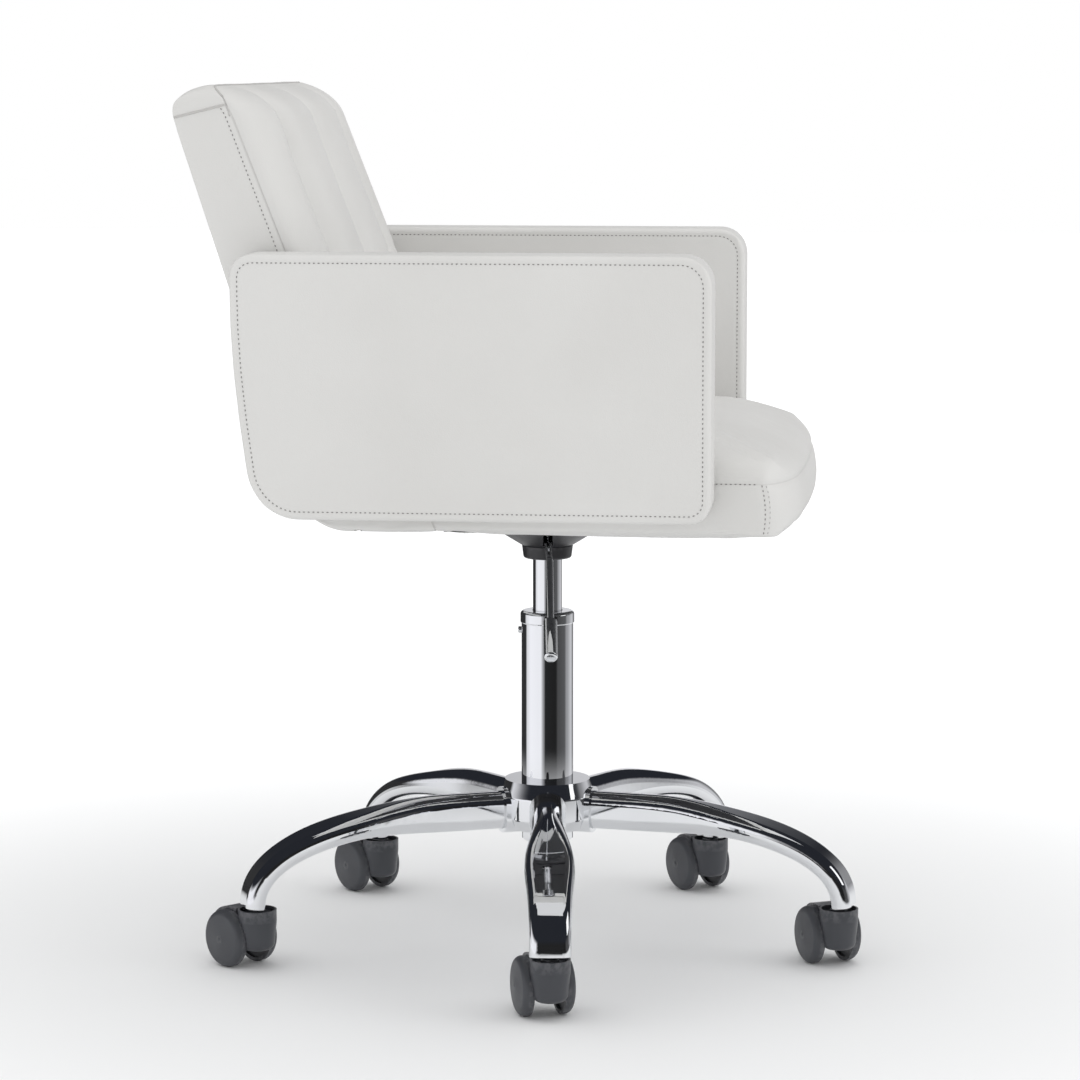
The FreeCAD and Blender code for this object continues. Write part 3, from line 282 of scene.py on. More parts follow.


# painted shade: a dark finish for thin cords that stand in for the shade in the back's channel creases
def paintedCreaseShade():
    material, tree, shader = newFinish("paintedCreaseShade", Roughness=0.8)
    noise = addNode(tree, "ShaderNodeTexNoise", in_Scale=400.0, in_Detail=2.0)
    tree.links.new(addNode(tree, "ShaderNodeTexCoord").outputs["Object"], noise.inputs["Vector"])
    tree.links.new(mixTone(tree, noise.outputs["Fac"], (0.27, 0.265, 0.255), (0.40, 0.39, 0.375)),
                   shader.inputs["Base Color"])
    return material


def polishedChrome():
    material, tree, shader = newFinish("polishedChrome", Metallic=1.0)
    smudge = useGroup(tree, "smudge", Scale=9.0, Low=0.02, High=0.045)
    tree.links.new(smudge.outputs["Roughness"], shader.inputs["Roughness"])
    tint = addNode(tree, "ShaderNodeTexNoise", in_Scale=6.0, in_Detail=2.0)
    tree.links.new(addNode(tree, "ShaderNodeTexCoord").outputs["Object"], tint.inputs["Vector"])
    tree.links.new(mixTone(tree, tint.outputs["Fac"], (0.80, 0.815, 0.84), (0.86, 0.865, 0.88)),
                   shader.inputs["Base Color"])
    return material


def turnedSteel():
    material, tree, shader = newFinish("turnedSteel", Metallic=1.0)
    place = addNode(tree, "ShaderNodeTexCoord").outputs["Object"]
    stretch = addNode(tree, "ShaderNodeMapping")
    stretch.inputs["Scale"].default_value = (1.0, 1.0, 30.0)
    tree.links.new(place, stretch.inputs["Vector"])
    lines = addNode(tree, "ShaderNodeTexNoise", in_Scale=60.0, in_Detail=4.0)
    tree.links.new(stretch.outputs["Vector"], lines.inputs["Vector"])
    wear = useGroup(tree, "wear", Reach=0.54, Breakup_Scale=150.0)
    base = mixTone(tree, lines.outputs["Fac"], (0.42, 0.42, 0.44), (0.58, 0.58, 0.6))
    tree.links.new(mixTone(tree, wear.outputs["Mask"], base, (0.72, 0.72, 0.73)), shader.inputs["Base Color"])
    tree.links.new(remap(tree, lines.outputs["Fac"], 0.3, 0.7, 0.24, 0.42), shader.inputs["Roughness"])
    bump(tree, lines.outputs["Fac"], 0.3, 0.0001, shader)
    return material


def mouldedPlastic(name, tone, worn, gloss, grainScale):
    material, tree, shader = newFinish(name, Specular_IOR_Level=0.5)
    grain = useGroup(tree, "grain", Grain_Scale=grainScale, Wrinkle_Scale=30.0, Wrinkle_Share=0.2)
    wear = useGroup(tree, "wear", Reach=0.53, Breakup_Scale=180.0)
    patch = mixTone(tree, grain.outputs["Tone"], tuple(0.8 * c for c in tone), tone)
    tree.links.new(mixTone(tree, wear.outputs["Mask"], patch, worn), shader.inputs["Base Color"])
    smudge = useGroup(tree, "smudge", Scale=25.0, Low=gloss[0], High=gloss[1])
    tree.links.new(smudge.outputs["Roughness"], shader.inputs["Roughness"])
    bump(tree, grain.outputs["Height"], 0.35, 0.00012, shader)
    return material


def birchPly():
    material, tree, shader = newFinish("birchPly", Roughness=0.6)
    place = addNode(tree, "ShaderNodeTexCoord").outputs["Object"]
    stretch = addNode(tree, "ShaderNodeMapping")
    stretch.inputs["Scale"].default_value = (1.5, 14.0, 400.0)
    tree.links.new(place, stretch.inputs["Vector"])
    rings = addNode(tree, "ShaderNodeTexNoise", in_Scale=4.0, in_Detail=6.0, in_Distortion=1.2)
    tree.links.new(stretch.outputs["Vector"], rings.inputs["Vector"])
    tree.links.new(mixTone(tree, rings.outputs["Fac"], (0.62, 0.45, 0.28), (0.78, 0.62, 0.42)),
                   shader.inputs["Base Color"])
    bump(tree, rings.outputs["Fac"], 0.25, 0.0003, shader)
    return material


def wovenLining():
    material, tree, shader = newFinish("wovenLining", Roughness=0.9, Sheen_Weight=0.2)
    place = addNode(tree, "ShaderNodeTexCoord").outputs["Object"]
    weave = addNode(tree, "ShaderNodeTexChecker", in_Scale=900.0)
    tree.links.new(place, weave.inputs["Vector"])
    tree.links.new(mixTone(tree, weave.outputs["Fac"], (0.018, 0.018, 0.02), (0.04, 0.04, 0.043)),
                   shader.inputs["Base Color"])
    bump(tree, weave.outputs["Fac"], 0.4, 0.0002, shader)
    return material


finishes = {
    "leather": whiteLeather(), "thread": threadFinish(), "creaseShade": paintedCreaseShade(),
    "chrome": polishedChrome(), "steel": turnedSteel(),
    "collar": mouldedPlastic("collarPlastic", (0.022, 0.022, 0.025), (0.06, 0.06, 0.065),
                             (0.28, 0.42), 1400.0),
    "hood": mouldedPlastic("castorPlastic", (0.05, 0.053, 0.062), (0.12, 0.12, 0.13),
                           (0.30, 0.46), 1600.0),
    "wheel": mouldedPlastic("wheelNylon", (0.058, 0.061, 0.07), (0.14, 0.14, 0.15),
                            (0.36, 0.5), 1200.0),
    "ply": birchPly(), "lining": wovenLining(),
}
slotFinish = {"chrome": "chrome", "steel": "steel", "black_plastic": "collar", "castor_plastic": "hood",
              "wheel_nylon": "wheel", "plywood": "ply", "dust_cloth": "lining", "white_leather": "leather"}
for part in frame["record"]["subparts"]:
    node = frame["nodes"][part["node"]]
    node.data.materials.clear()
    node.data.materials.append(finishes[slotFinish[part["material_slot"]]])
print("finishes made")

# ---- shaping of padded pieces: a box of square cells, its edges rounded, then leaned and crowned into place


def spread(low, high, step, dense=()):
    # cell lines from low to high, closer together near both ends
    ends = np.array([0.0, 1.2, 2.6, 4.4, 6.8, 9.8])
    middle = np.linspace(low + 13.5, high - 13.5, max(2, int(round((high - low - 27.0) / step)) + 1))
    lines = np.concatenate([low + ends, middle, high - ends[::-1]])
    return np.unique(np.round(np.concatenate([lines, np.array(dense)]) if len(dense) else lines, 4))


def cellBox(across, along, up):
    index, points, faces = {}, [], []

    def at(i, j, k):
        if (i, j, k) not in index:
            index[(i, j, k)] = len(points)
            points.append((across[i], along[j], up[k]))
        return index[(i, j, k)]

    a, b, c = len(across) - 1, len(along) - 1, len(up) - 1
    for i in range(a):
        for j in range(b):
            for k, flip in ((0, True), (c, False)):
                quad = (at(i, j, k), at(i + 1, j, k), at(i + 1, j + 1, k), at(i, j + 1, k))
                faces.append(quad[::-1] if flip else quad)
    for i in range(a):
        for k in range(c):
            for j, flip in ((0, False), (b, True)):
                quad = (at(i, j, k), at(i + 1, j, k), at(i + 1, j, k + 1), at(i, j, k + 1))
                faces.append(quad[::-1] if flip else quad)
    for j in range(b):
        for k in range(c):
            for i, flip in ((0, True), (a, False)):
                quad = (at(i, j, k), at(i, j + 1, k), at(i, j + 1, k + 1), at(i, j, k + 1))
                faces.append(quad[::-1] if flip else quad)
    return np.array(points, float), faces


def roundEdge(points, first, firstEnd, firstRound, second, secondEnd, secondRound):
    # bends the square edge where both coordinates reach their ends into an arc
    p, q = points[:, first], points[:, second]
    s, t = np.sign(firstEnd), np.sign(secondEnd)
    a = np.clip((s * p - (abs(firstEnd) - firstRound)) / firstRound, 0.0, 1.0)
    b = np.clip((t * q - (abs(secondEnd) - secondRound)) / secondRound, 0.0, 1.0)
    near = (a > 0) & (b > 0)
    bent = s * (abs(firstEnd) - firstRound + firstRound * a * np.sqrt(1 - b * b / 2))
    points[:, first] = np.where(near, bent, p)
    bent = t * (abs(secondEnd) - secondRound + secondRound * b * np.sqrt(1 - a * a / 2))
    points[:, second] = np.where(near, bent, q)


def roundedLoop(halfA, halfB, rounds, inset, step=4.0):
    # closed path inside a rectangle with rounded corners, counted (+,+), (-,+), (-,-), (+,-)
    turns = []
    for (s, t), r, start in zip(((1, 1), (-1, 1), (-1, -1), (1, -1)), rounds, (0, 90, 180, 270)):
        reach = max(r - inset, 0.5)
        centre = (s * (halfA - r if r > inset else halfA - inset - reach),
                  t * (halfB - r if r > inset else halfB - inset - reach))
        for angle in np.radians(np.linspace(start, start + 90, max(3, int(reach * 1.6 / step) + 2))):
            turns.append((centre[0] + reach * math.cos(angle), centre[1] + reach * math.sin(angle)))
    turns.append(turns[0])
    return refine(np.array(turns), step)


def refine(path, step=4.0):
    path = np.asarray(path, float)
    lengths = np.linalg.norm(np.diff(path, axis=0), axis=1)
    total = np.concatenate([[0.0], np.cumsum(lengths)])
    marks = np.linspace(0.0, total[-1], max(2, int(round(total[-1] / step)) + 1))
    return np.stack([np.interp(marks, total, path[:, k]) for k in range(path.shape[1])], axis=1)


def meshFrom(name, points, faces):
    mesh = bpy.data.meshes.new(name)
    mesh.from_pydata((points * mm).tolist(), [], faces)
    work = bmesh.new()
    work.from_mesh(mesh)
    bmesh.ops.recalc_face_normals(work, faces=work.faces)
    work.to_mesh(mesh)
    work.free()
    piece = bpy.data.objects.new(name, mesh)
    bpy.context.scene.collection.objects.link(piece)
    return piece


def readPoints(mesh):
    flat = np.empty(len(mesh.vertices) * 3, np.float32)
    mesh.vertices.foreach_get("co", flat)
    return flat.reshape(-1, 3).astype(float)


def writePoints(mesh, points):
    mesh.vertices.foreach_set("co", points.astype(np.float32).ravel())
    mesh.update()


def pathDistance(points, paths):
    # shortest distance from each point to any of the paths
    best = np.full(len(points), 1.0)
    for path in paths:
        for start, end in zip(path[:-1], path[1:]):
            along = end - start
            near = np.abs(points - (start + end) / 2).max(axis=1) < 0.03 + np.linalg.norm(along)
            if not near.any():
                continue
            local = points[near] - start
            share = np.clip(local @ along / max(along @ along, 1e-12), 0.0, 1.0)
            best[near] = np.minimum(best[near], np.linalg.norm(local - share[:, None] * along, axis=1))
    return best


def seat(path, tree):
    # lays a path on the finished surface
    return np.array([tuple(tree.find_nearest(Vector(point))[0]) for point in path])


def inflate(piece, pressure, cap, held, frames=20):
    mesh = piece.data
    before = readPoints(mesh)
    pins = piece.vertex_groups.new(name="held")
    for number, weight in enumerate(held):
        if weight > 0.01:
            pins.add([number], float(weight), "REPLACE")
    cloth = piece.modifiers.new("stuffing", "CLOTH")
    rules = cloth.settings
    rules.quality = 5
    rules.mass = 0.3
    rules.tension_stiffness = rules.compression_stiffness = 25.0
    rules.shear_stiffness = 12.0
    rules.bending_stiffness = 1.5
    rules.use_pressure = True
    rules.uniform_pressure_force = pressure
    rules.vertex_group_mass = "held"
    rules.effector_weights.gravity = 0.0
    cloth.collision_settings.use_collision = False
    scene = bpy.context.scene
    cloth.point_cache.frame_start, cloth.point_cache.frame_end = 1, frames
    for number in range(1, frames + 1):
        scene.frame_set(number)
    puffed = piece.evaluated_get(bpy.context.evaluated_depsgraph_get())
    after = readPoints(puffed.data)
    piece.modifiers.remove(cloth)
    piece.vertex_groups.remove(pins)
    scene.frame_set(1)
    move = after - before
    length = np.linalg.norm(move, axis=1)
    soft = cap * np.tanh(length / cap)
    writePoints(mesh, before + move * (soft / np.maximum(length, 1e-9))[:, None])
    print(f"  {piece.name}: stuffing moved up to {soft.max() * 1000:.1f} mm")


def vertexNormals(mesh):
    flat = np.empty(len(mesh.vertices) * 3, np.float32)
    mesh.vertices.foreach_get("normal", flat)
    return flat.reshape(-1, 3).astype(float)


def upholster(name, node, points, faces, seams, plan, still=None):
    # stuffs, sews and finishes one padded piece
    piece = meshFrom(name, points, faces)
    seams = [path * mm for path in seams]
    distance = pathDistance(readPoints(piece.data), seams)
    held = np.clip(1.0 - (distance - 0.003) / (plan["ease"] * mm), 0.0, 1.0) ** 2
    if still is not None:
        held[still] = 1.0
    inflate(piece, plan["pressure"], plan["cap"] * mm, held)
    smooth = piece.modifiers.new("smooth", "SUBSURF")
    smooth.levels = smooth.render_levels = 1
    evaluated = piece.evaluated_get(bpy.context.evaluated_depsgraph_get())
    fine = bpy.data.meshes.new_from_object(evaluated)
    piece.modifiers.clear()
    piece.data = fine
    tree = BVHTree.FromObject(piece, bpy.context.evaluated_depsgraph_get())
    seams = [seat(path, tree) for path in seams]
    spots, out = readPoints(fine), vertexNormals(fine)
    distance = pathDistance(spots, seams)
    sink = plan["fold"] * mm * np.exp(-(distance / (plan["foldWidth"] * mm)) ** 2)
    writePoints(fine, spots - out * sink[:, None])
    mark = fine.attributes.new("seamDistance", "FLOAT", "POINT")
    # faint moves the seam distance out, which lightens the painted seam shade and makes the seam's bump
    # shallower
    away = np.minimum(distance + plan.get("faint", 0.0) * mm, 0.05)
    mark.data.foreach_set("value", away.astype(np.float32))
    fine.polygons.foreach_set("use_smooth", [True] * len(fine.polygons))
    fine.materials.clear()
    fine.materials.append(finishes["leather"])
    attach(piece, "seat")
    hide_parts(node)
    print(f"{name}: {len(fine.polygons)} faces")
    return piece


# ---- stitching: one small thread bead, repeated along each sewn line

stitchPlan = {"pitch": 4.2, "length": 2.1, "thick": 0.95, "lift": 0.15, "tackThick": 0.45}


def stitchTree():
    tree = bpy.data.node_groups.new("stitchRun", "GeometryNodeTree")
    tree.interface.new_socket("Geometry", in_out="INPUT", socket_type="NodeSocketGeometry")
    tree.interface.new_socket("Geometry", in_out="OUTPUT", socket_type="NodeSocketGeometry")
    inputs = {}
    for label, value in (("Pitch", 0.0034), ("Stitch Length", 0.0025), ("Thread Radius", 0.0004)):
        socket = tree.interface.new_socket(label, in_out="INPUT", socket_type="NodeSocketFloat")
        socket.default_value = value
        inputs[label] = socket.identifier
    socket = tree.interface.new_socket("Thread", in_out="INPUT", socket_type="NodeSocketMaterial")
    inputs["Thread"] = socket.identifier
    new, link = tree.nodes.new, tree.links.new
    enter, leave = new("NodeGroupInput"), new("NodeGroupOutput")
    curve, resample = new("GeometryNodeMeshToCurve"), new("GeometryNodeResampleCurve")
    resample.mode = "LENGTH"
    link(enter.outputs["Geometry"], curve.inputs["Mesh"])
    link(curve.outputs["Curve"], resample.inputs["Curve"])
    link(enter.outputs["Pitch"], resample.inputs["Length"])
    bead = new("GeometryNodeMeshIcoSphere")
    bead.inputs["Subdivisions"].default_value = 2
    bead.inputs["Radius"].default_value = 1.0
    size = new("ShaderNodeCombineXYZ")
    link(enter.outputs["Thread Radius"], size.inputs["X"])
    link(enter.outputs["Thread Radius"], size.inputs["Y"])
    half = new("ShaderNodeMath")
    half.operation = "MULTIPLY"
    half.inputs[1].default_value = 0.5
    link(enter.outputs["Stitch Length"], half.inputs[0])
    link(half.outputs[0], size.inputs["Z"])
    place = new("GeometryNodeInstanceOnPoints")
    link(resample.outputs["Curve"], place.inputs["Points"])
    link(bead.outputs["Mesh"], place.inputs["Instance"])
    link(size.outputs["Vector"], place.inputs["Scale"])
    tangent, turn = new("GeometryNodeInputTangent"), new("FunctionNodeAlignRotationToVector")
    turn.axis = "Z"
    link(tangent.outputs["Tangent"], turn.inputs["Vector"])
    link(turn.outputs["Rotation"], place.inputs["Rotation"])
    realize, paint = new("GeometryNodeRealizeInstances"), new("GeometryNodeSetMaterial")
    link(place.outputs["Instances"], realize.inputs["Geometry"])
    link(realize.outputs["Geometry"], paint.inputs["Geometry"])
    link(enter.outputs["Thread"], paint.inputs["Material"])
    link(paint.outputs["Geometry"], leave.inputs["Geometry"])
    return tree, inputs


stitchRun, stitchInputs = stitchTree()


def sew(name, cushion, paths, thick=stitchPlan["thick"]):
    # stitches along paths given in mm, laid on the cushion's surface
    tree = BVHTree.FromObject(cushion, bpy.context.evaluated_depsgraph_get())
    points, edges = [], []
    for path in paths:
        start = len(points)
        for point in path:
            spot, out, _, _ = tree.find_nearest(Vector(point) * mm)
            points.append(tuple(spot + out * stitchPlan["lift"] * mm))
        edges += [(start + k, start + k + 1) for k in range(len(path) - 1)]
    mesh = bpy.data.meshes.new(name)
    mesh.from_pydata(points, edges, [])
    run = bpy.data.objects.new(name, mesh)
    bpy.context.scene.collection.objects.link(run)
    modifier = run.modifiers.new("stitches", "NODES")
    modifier.node_group = stitchRun
    modifier[stitchInputs["Pitch"]] = stitchPlan["pitch"] * mm
    modifier[stitchInputs["Stitch Length"]] = stitchPlan["length"] * mm
    modifier[stitchInputs["Thread Radius"]] = thick / 2 * mm
    modifier[stitchInputs["Thread"]] = finishes["thread"]
    result = bpy.data.meshes.new_from_object(run.evaluated_get(bpy.context.evaluated_depsgraph_get()))
    run.modifiers.clear()
    run.data = result
    result.polygons.foreach_set("use_smooth", [True] * len(result.polygons))
    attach(run, "seat")
    print(f"{name}: {len(result.polygons)} faces")
    return run


def cord(name, cushion, paths, radius, finish, sides=8):
    # a thin round cord laid half into the cushion's surface along each path, in mm
    tree = BVHTree.FromObject(cushion, bpy.context.evaluated_depsgraph_get())
    turns = np.linspace(0.0, 2 * math.pi, sides, endpoint=False)
    points, faces = [], []
    for path in paths:
        spots, ups = [], []
        for point in refine(path, 2.5):
            spot, out, _, _ = tree.find_nearest(Vector(point) * mm)
            spots.append(tuple(spot))
            ups.append(tuple(out))
        spots, ups = np.array(spots), np.array(ups)
        spots[1:-1] = (spots[:-2] + 2 * spots[1:-1] + spots[2:]) / 4
        along = np.gradient(spots, axis=0)
        along /= np.linalg.norm(along, axis=1)[:, None]
        ups -= (ups * along).sum(axis=1)[:, None] * along
        ups /= np.linalg.norm(ups, axis=1)[:, None]
        across = np.cross(along, ups)
        first = len(points)
        for spot, up, wide in zip(spots, ups, across):
            points += [tuple(spot + radius * mm * (math.cos(a) * up + math.sin(a) * wide)) for a in turns]
        for k in range(len(spots) - 1):
            low, high = first + k * sides, first + (k + 1) * sides
            for j in range(sides):
                after = (j + 1) % sides
                faces.append((low + j, low + after, high + after, high + j))
        last = len(points)
        faces += [tuple(range(first, first + sides)), tuple(range(last - sides, last))[::-1]]
    run = meshFrom(name, np.array(points) / mm, faces)
    run.data.materials.append(finishes[finish])
    run.data.polygons.foreach_set("use_smooth", [True] * len(run.data.polygons))
    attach(run, "seat")
    print(f"{name}: {len(faces)} faces")


makeCamera()

# ---- arms: firm slabs with an inner and an outer panel sewn to a band

armPlan = {
    "front": -175.0, "top": 686.0, "bottom": 451.0, "inner": 243.0, "thick": 57.0,
    "rearHeights": [451.0, 470.0, 500.0, 540.0, 580.0, 620.0, 650.0, 686.0],
    "rearLine": [231.0, 233.5, 238.0, 243.5, 247.8, 250.4, 251.0, 251.0],
    "rounds": (20.0, 27.0, 20.0, 42.0),   # rear top, front top, front bottom, rear bottom
    "edge": 5.5, "seamInset": 7.5, "faint": 1.2, "cell": 5.5,
    "pressure": 2.2, "cap": 3.0, "ease": 26.0, "fold": 0.4, "foldWidth": 2.2, "fill": 0.9,
}


def makeArm(name, node, side):
    plan = armPlan
    deep, high, thick = (plan["rearLine"][-1] - plan["front"]), plan["top"] - plan["bottom"], plan["thick"]
    halfY, halfZ, halfX = deep / 2, high / 2, thick / 2

    def lean(points):
        # box coordinates (across, along, up) to the chair's
        z = points[:, 2] + (plan["top"] + plan["bottom"]) / 2
        rear = np.interp(z, plan["rearHeights"], plan["rearLine"])
        y = plan["front"] + (points[:, 1] + halfY) / deep * (rear - plan["front"])
        x = side * (plan["inner"] + halfX + points[:, 0])
        return np.stack([x, y, z], axis=1)

    points, faces = cellBox(spread(-halfX, halfX, 6.0), spread(-halfY, halfY, plan["cell"]),
                            spread(-halfZ, halfZ, plan["cell"]))
    for s in (1, -1):
        for t in (1, -1):
            roundEdge(points, 0, s * halfX, plan["edge"], 1, t * halfY, plan["edge"])
            roundEdge(points, 0, s * halfX, plan["edge"], 2, t * halfZ, plan["edge"])
    for (s, t), r in zip(((1, 1), (-1, 1), (-1, -1), (1, -1)), plan["rounds"]):
        roundEdge(points, 1, s * halfY, r, 2, t * halfZ, r)

    def loop(face, inset):
        flat = roundedLoop(halfY, halfZ, plan["rounds"], inset)
        return lean(np.column_stack([np.full(len(flat), face * halfX), flat]))

    seams = [loop(face, plan["seamInset"]) for face in (1, -1)]
    arm = upholster(name, node, lean(points), faces, seams, plan)
    sew(name + ".stitches", arm, [loop(face, plan["seamInset"]) for face in (1, -1)])
    return arm


makeArm("armPadRight", "arm_right", -1)
makeArm("armPadLeft", "arm_left", 1)

# ---- seat: a crowned top panel sewn to a boxed front

seatPlan = {
    "half": 241.0, "front": -251.0, "rear": 112.0, "bottom": 433.0, "top": 518.0, "bow": 10.0,
    "seam": 481.0, "sideRoll": (52.0, 36.0), "frontRoll": (96.0, 37.0), "faint": 0.5,
    "footRound": (7.0, 13.0), "corner": (95.0, 26.0), "crown": 4.0, "cell": 5.5, "rearLean": 0.389,
    "bulge": 4.5, "tackGap": 5.0, "lining": (216.0, 206.0),
    "pressure": 3.0, "cap": 4.0, "ease": 40.0, "fold": 0.8, "foldWidth": 2.2, "fill": 0.75,
}


def makeSeat():
    plan = seatPlan
    halfX, halfY = plan["half"], (plan["rear"] - plan["front"]) / 2
    halfZ = (plan["top"] - plan["bottom"]) / 2
    middleZ = (plan["top"] + plan["bottom"]) / 2

    def settle(points):
        x = points[:, 0]
        y = points[:, 1] + (plan["front"] + plan["rear"]) / 2
        z = points[:, 2] + middleZ
        share = (plan["rear"] - y) / (plan["rear"] - plan["front"])
        y = y + share * plan["bow"] * (x / halfX) ** 2
        y = y + (1 - share) * (plan["rearLean"] * (z - plan["top"]))
        tall = (plan["seam"] - plan["bottom"]) / 2
        band = np.clip(1 - ((z - plan["seam"] + tall) / tall) ** 2, 0, 1)
        y = y - plan["bulge"] * band * np.clip((share - 0.86) / 0.14, 0, 1) ** 0.7
        rise = np.clip((z - plan["seam"]) / (plan["top"] - plan["seam"]), 0, 1)
        dome = np.clip(1 - (x / halfX) ** 2, 0, 1) * np.clip(1 - np.abs(2 * share - 1.05) ** 3, 0, 1)
        z = z + plan["crown"] * rise * dome
        return np.stack([x, y, z], axis=1)

    seamLines = [plan["seam"] - middleZ]
    points, faces = cellBox(spread(-halfX, halfX, plan["cell"]), spread(-halfY, halfY, plan["cell"]),
                            spread(-halfZ, halfZ, 5.0, seamLines))
    foot, roll = plan["footRound"], plan["sideRoll"]
    wide, deep = plan["corner"]
    for s in (1, -1):
        roundEdge(points, 0, s * halfX, roll[0], 2, halfZ, roll[1])
        roundEdge(points, 0, s * halfX, foot[0], 2, -halfZ, foot[0])
    roundEdge(points, 1, -halfY, plan["frontRoll"][0], 2, halfZ, plan["frontRoll"][1])
    roundEdge(points, 1, -halfY, foot[1], 2, -halfZ, foot[1])
    for s in (1, -1):
        roundEdge(points, 0, s * halfX, wide, 1, -halfY, deep)

    def band(lift):
        # round the front from one side to the other, at the top seam's height
        turn = np.radians(np.linspace(0, 90, 24))
        right = [(-halfX, halfY * 0.9), (-halfX, -halfY + deep)]
        right += [(-halfX + wide - wide * math.cos(a), -halfY + deep - deep * math.sin(a)) for a in turn[1:]]
        flat = refine(np.array(right + [(-x, y) for x, y in right[::-1]]))
        return settle(np.column_stack([flat, np.full(len(flat), plan["seam"] + lift - middleZ)]))

    def corner(s, offset=0.0):
        y = -halfY + deep + offset
        z = np.linspace(plan["bottom"] + 4, plan["seam"] - 1.5, 12) - middleZ
        return settle(np.column_stack([np.full(12, s * halfX), np.full(12, y), z]))

    seams = [band(0.0), corner(-1), corner(1)]
    cushion = upholster("seatPad", "seat_cushion", settle(points), faces, seams, plan)
    sewn = int((1.9 * halfY - deep) / 4.0)
    sew("seatPad.stitches", cushion, [band(0.0)[:sewn], band(0.0)[-sewn:], corner(-1), corner(1)])
    tacks = [corner(s, -plan["tackGap"]) for s in (-1, 1)]
    sew("seatPad.tacks", cushion, tacks, thick=stitchPlan["tackThick"])
    return cushion



def lineUnderside(mesh):
    # black cloth under the seat
    half, front = (size * mm for size in seatPlan["lining"])
    mesh.materials.append(finishes["lining"])
    for face in mesh.polygons:
        if face.normal.z < -0.95 and abs(face.center.x) < half and face.center.y > -front:
            face.material_index = 1


lineUnderside(makeSeat().data)

# ---- back: a front panel with three sewn channels, side panels and a top band

backPlan = {
    "half": 239.5, "bottom": 474.0, "top": 834.0, "refHeight": 480.0,
    "front": (131.0, 0.389), "rear": (206.0, 0.325), "depth": 64.0,
    "topRound": 31.0, "rearRound": (45.0, 32.0), "shoulder": (22.0, 19.0), "edge": 2.2,
    "bulge": 38.0, "power": 5.0, "channels": (-150.0, 0.0, 150.0), "grooves": (28.0, 17.0, 28.0),
    "grooveWidth": 15.0, "pleat": 66.0, "crossSeam": 669.0, "cell": 5.5,
    "pipingRadius": 1.1, "creaseShadeRadius": 0.65, "stitchInset": 7.0,
    "pressure": 3.0, "cap": 4.0, "ease": 34.0, "fold": 0.8, "foldWidth": 2.2, "fill": 0.8,
}


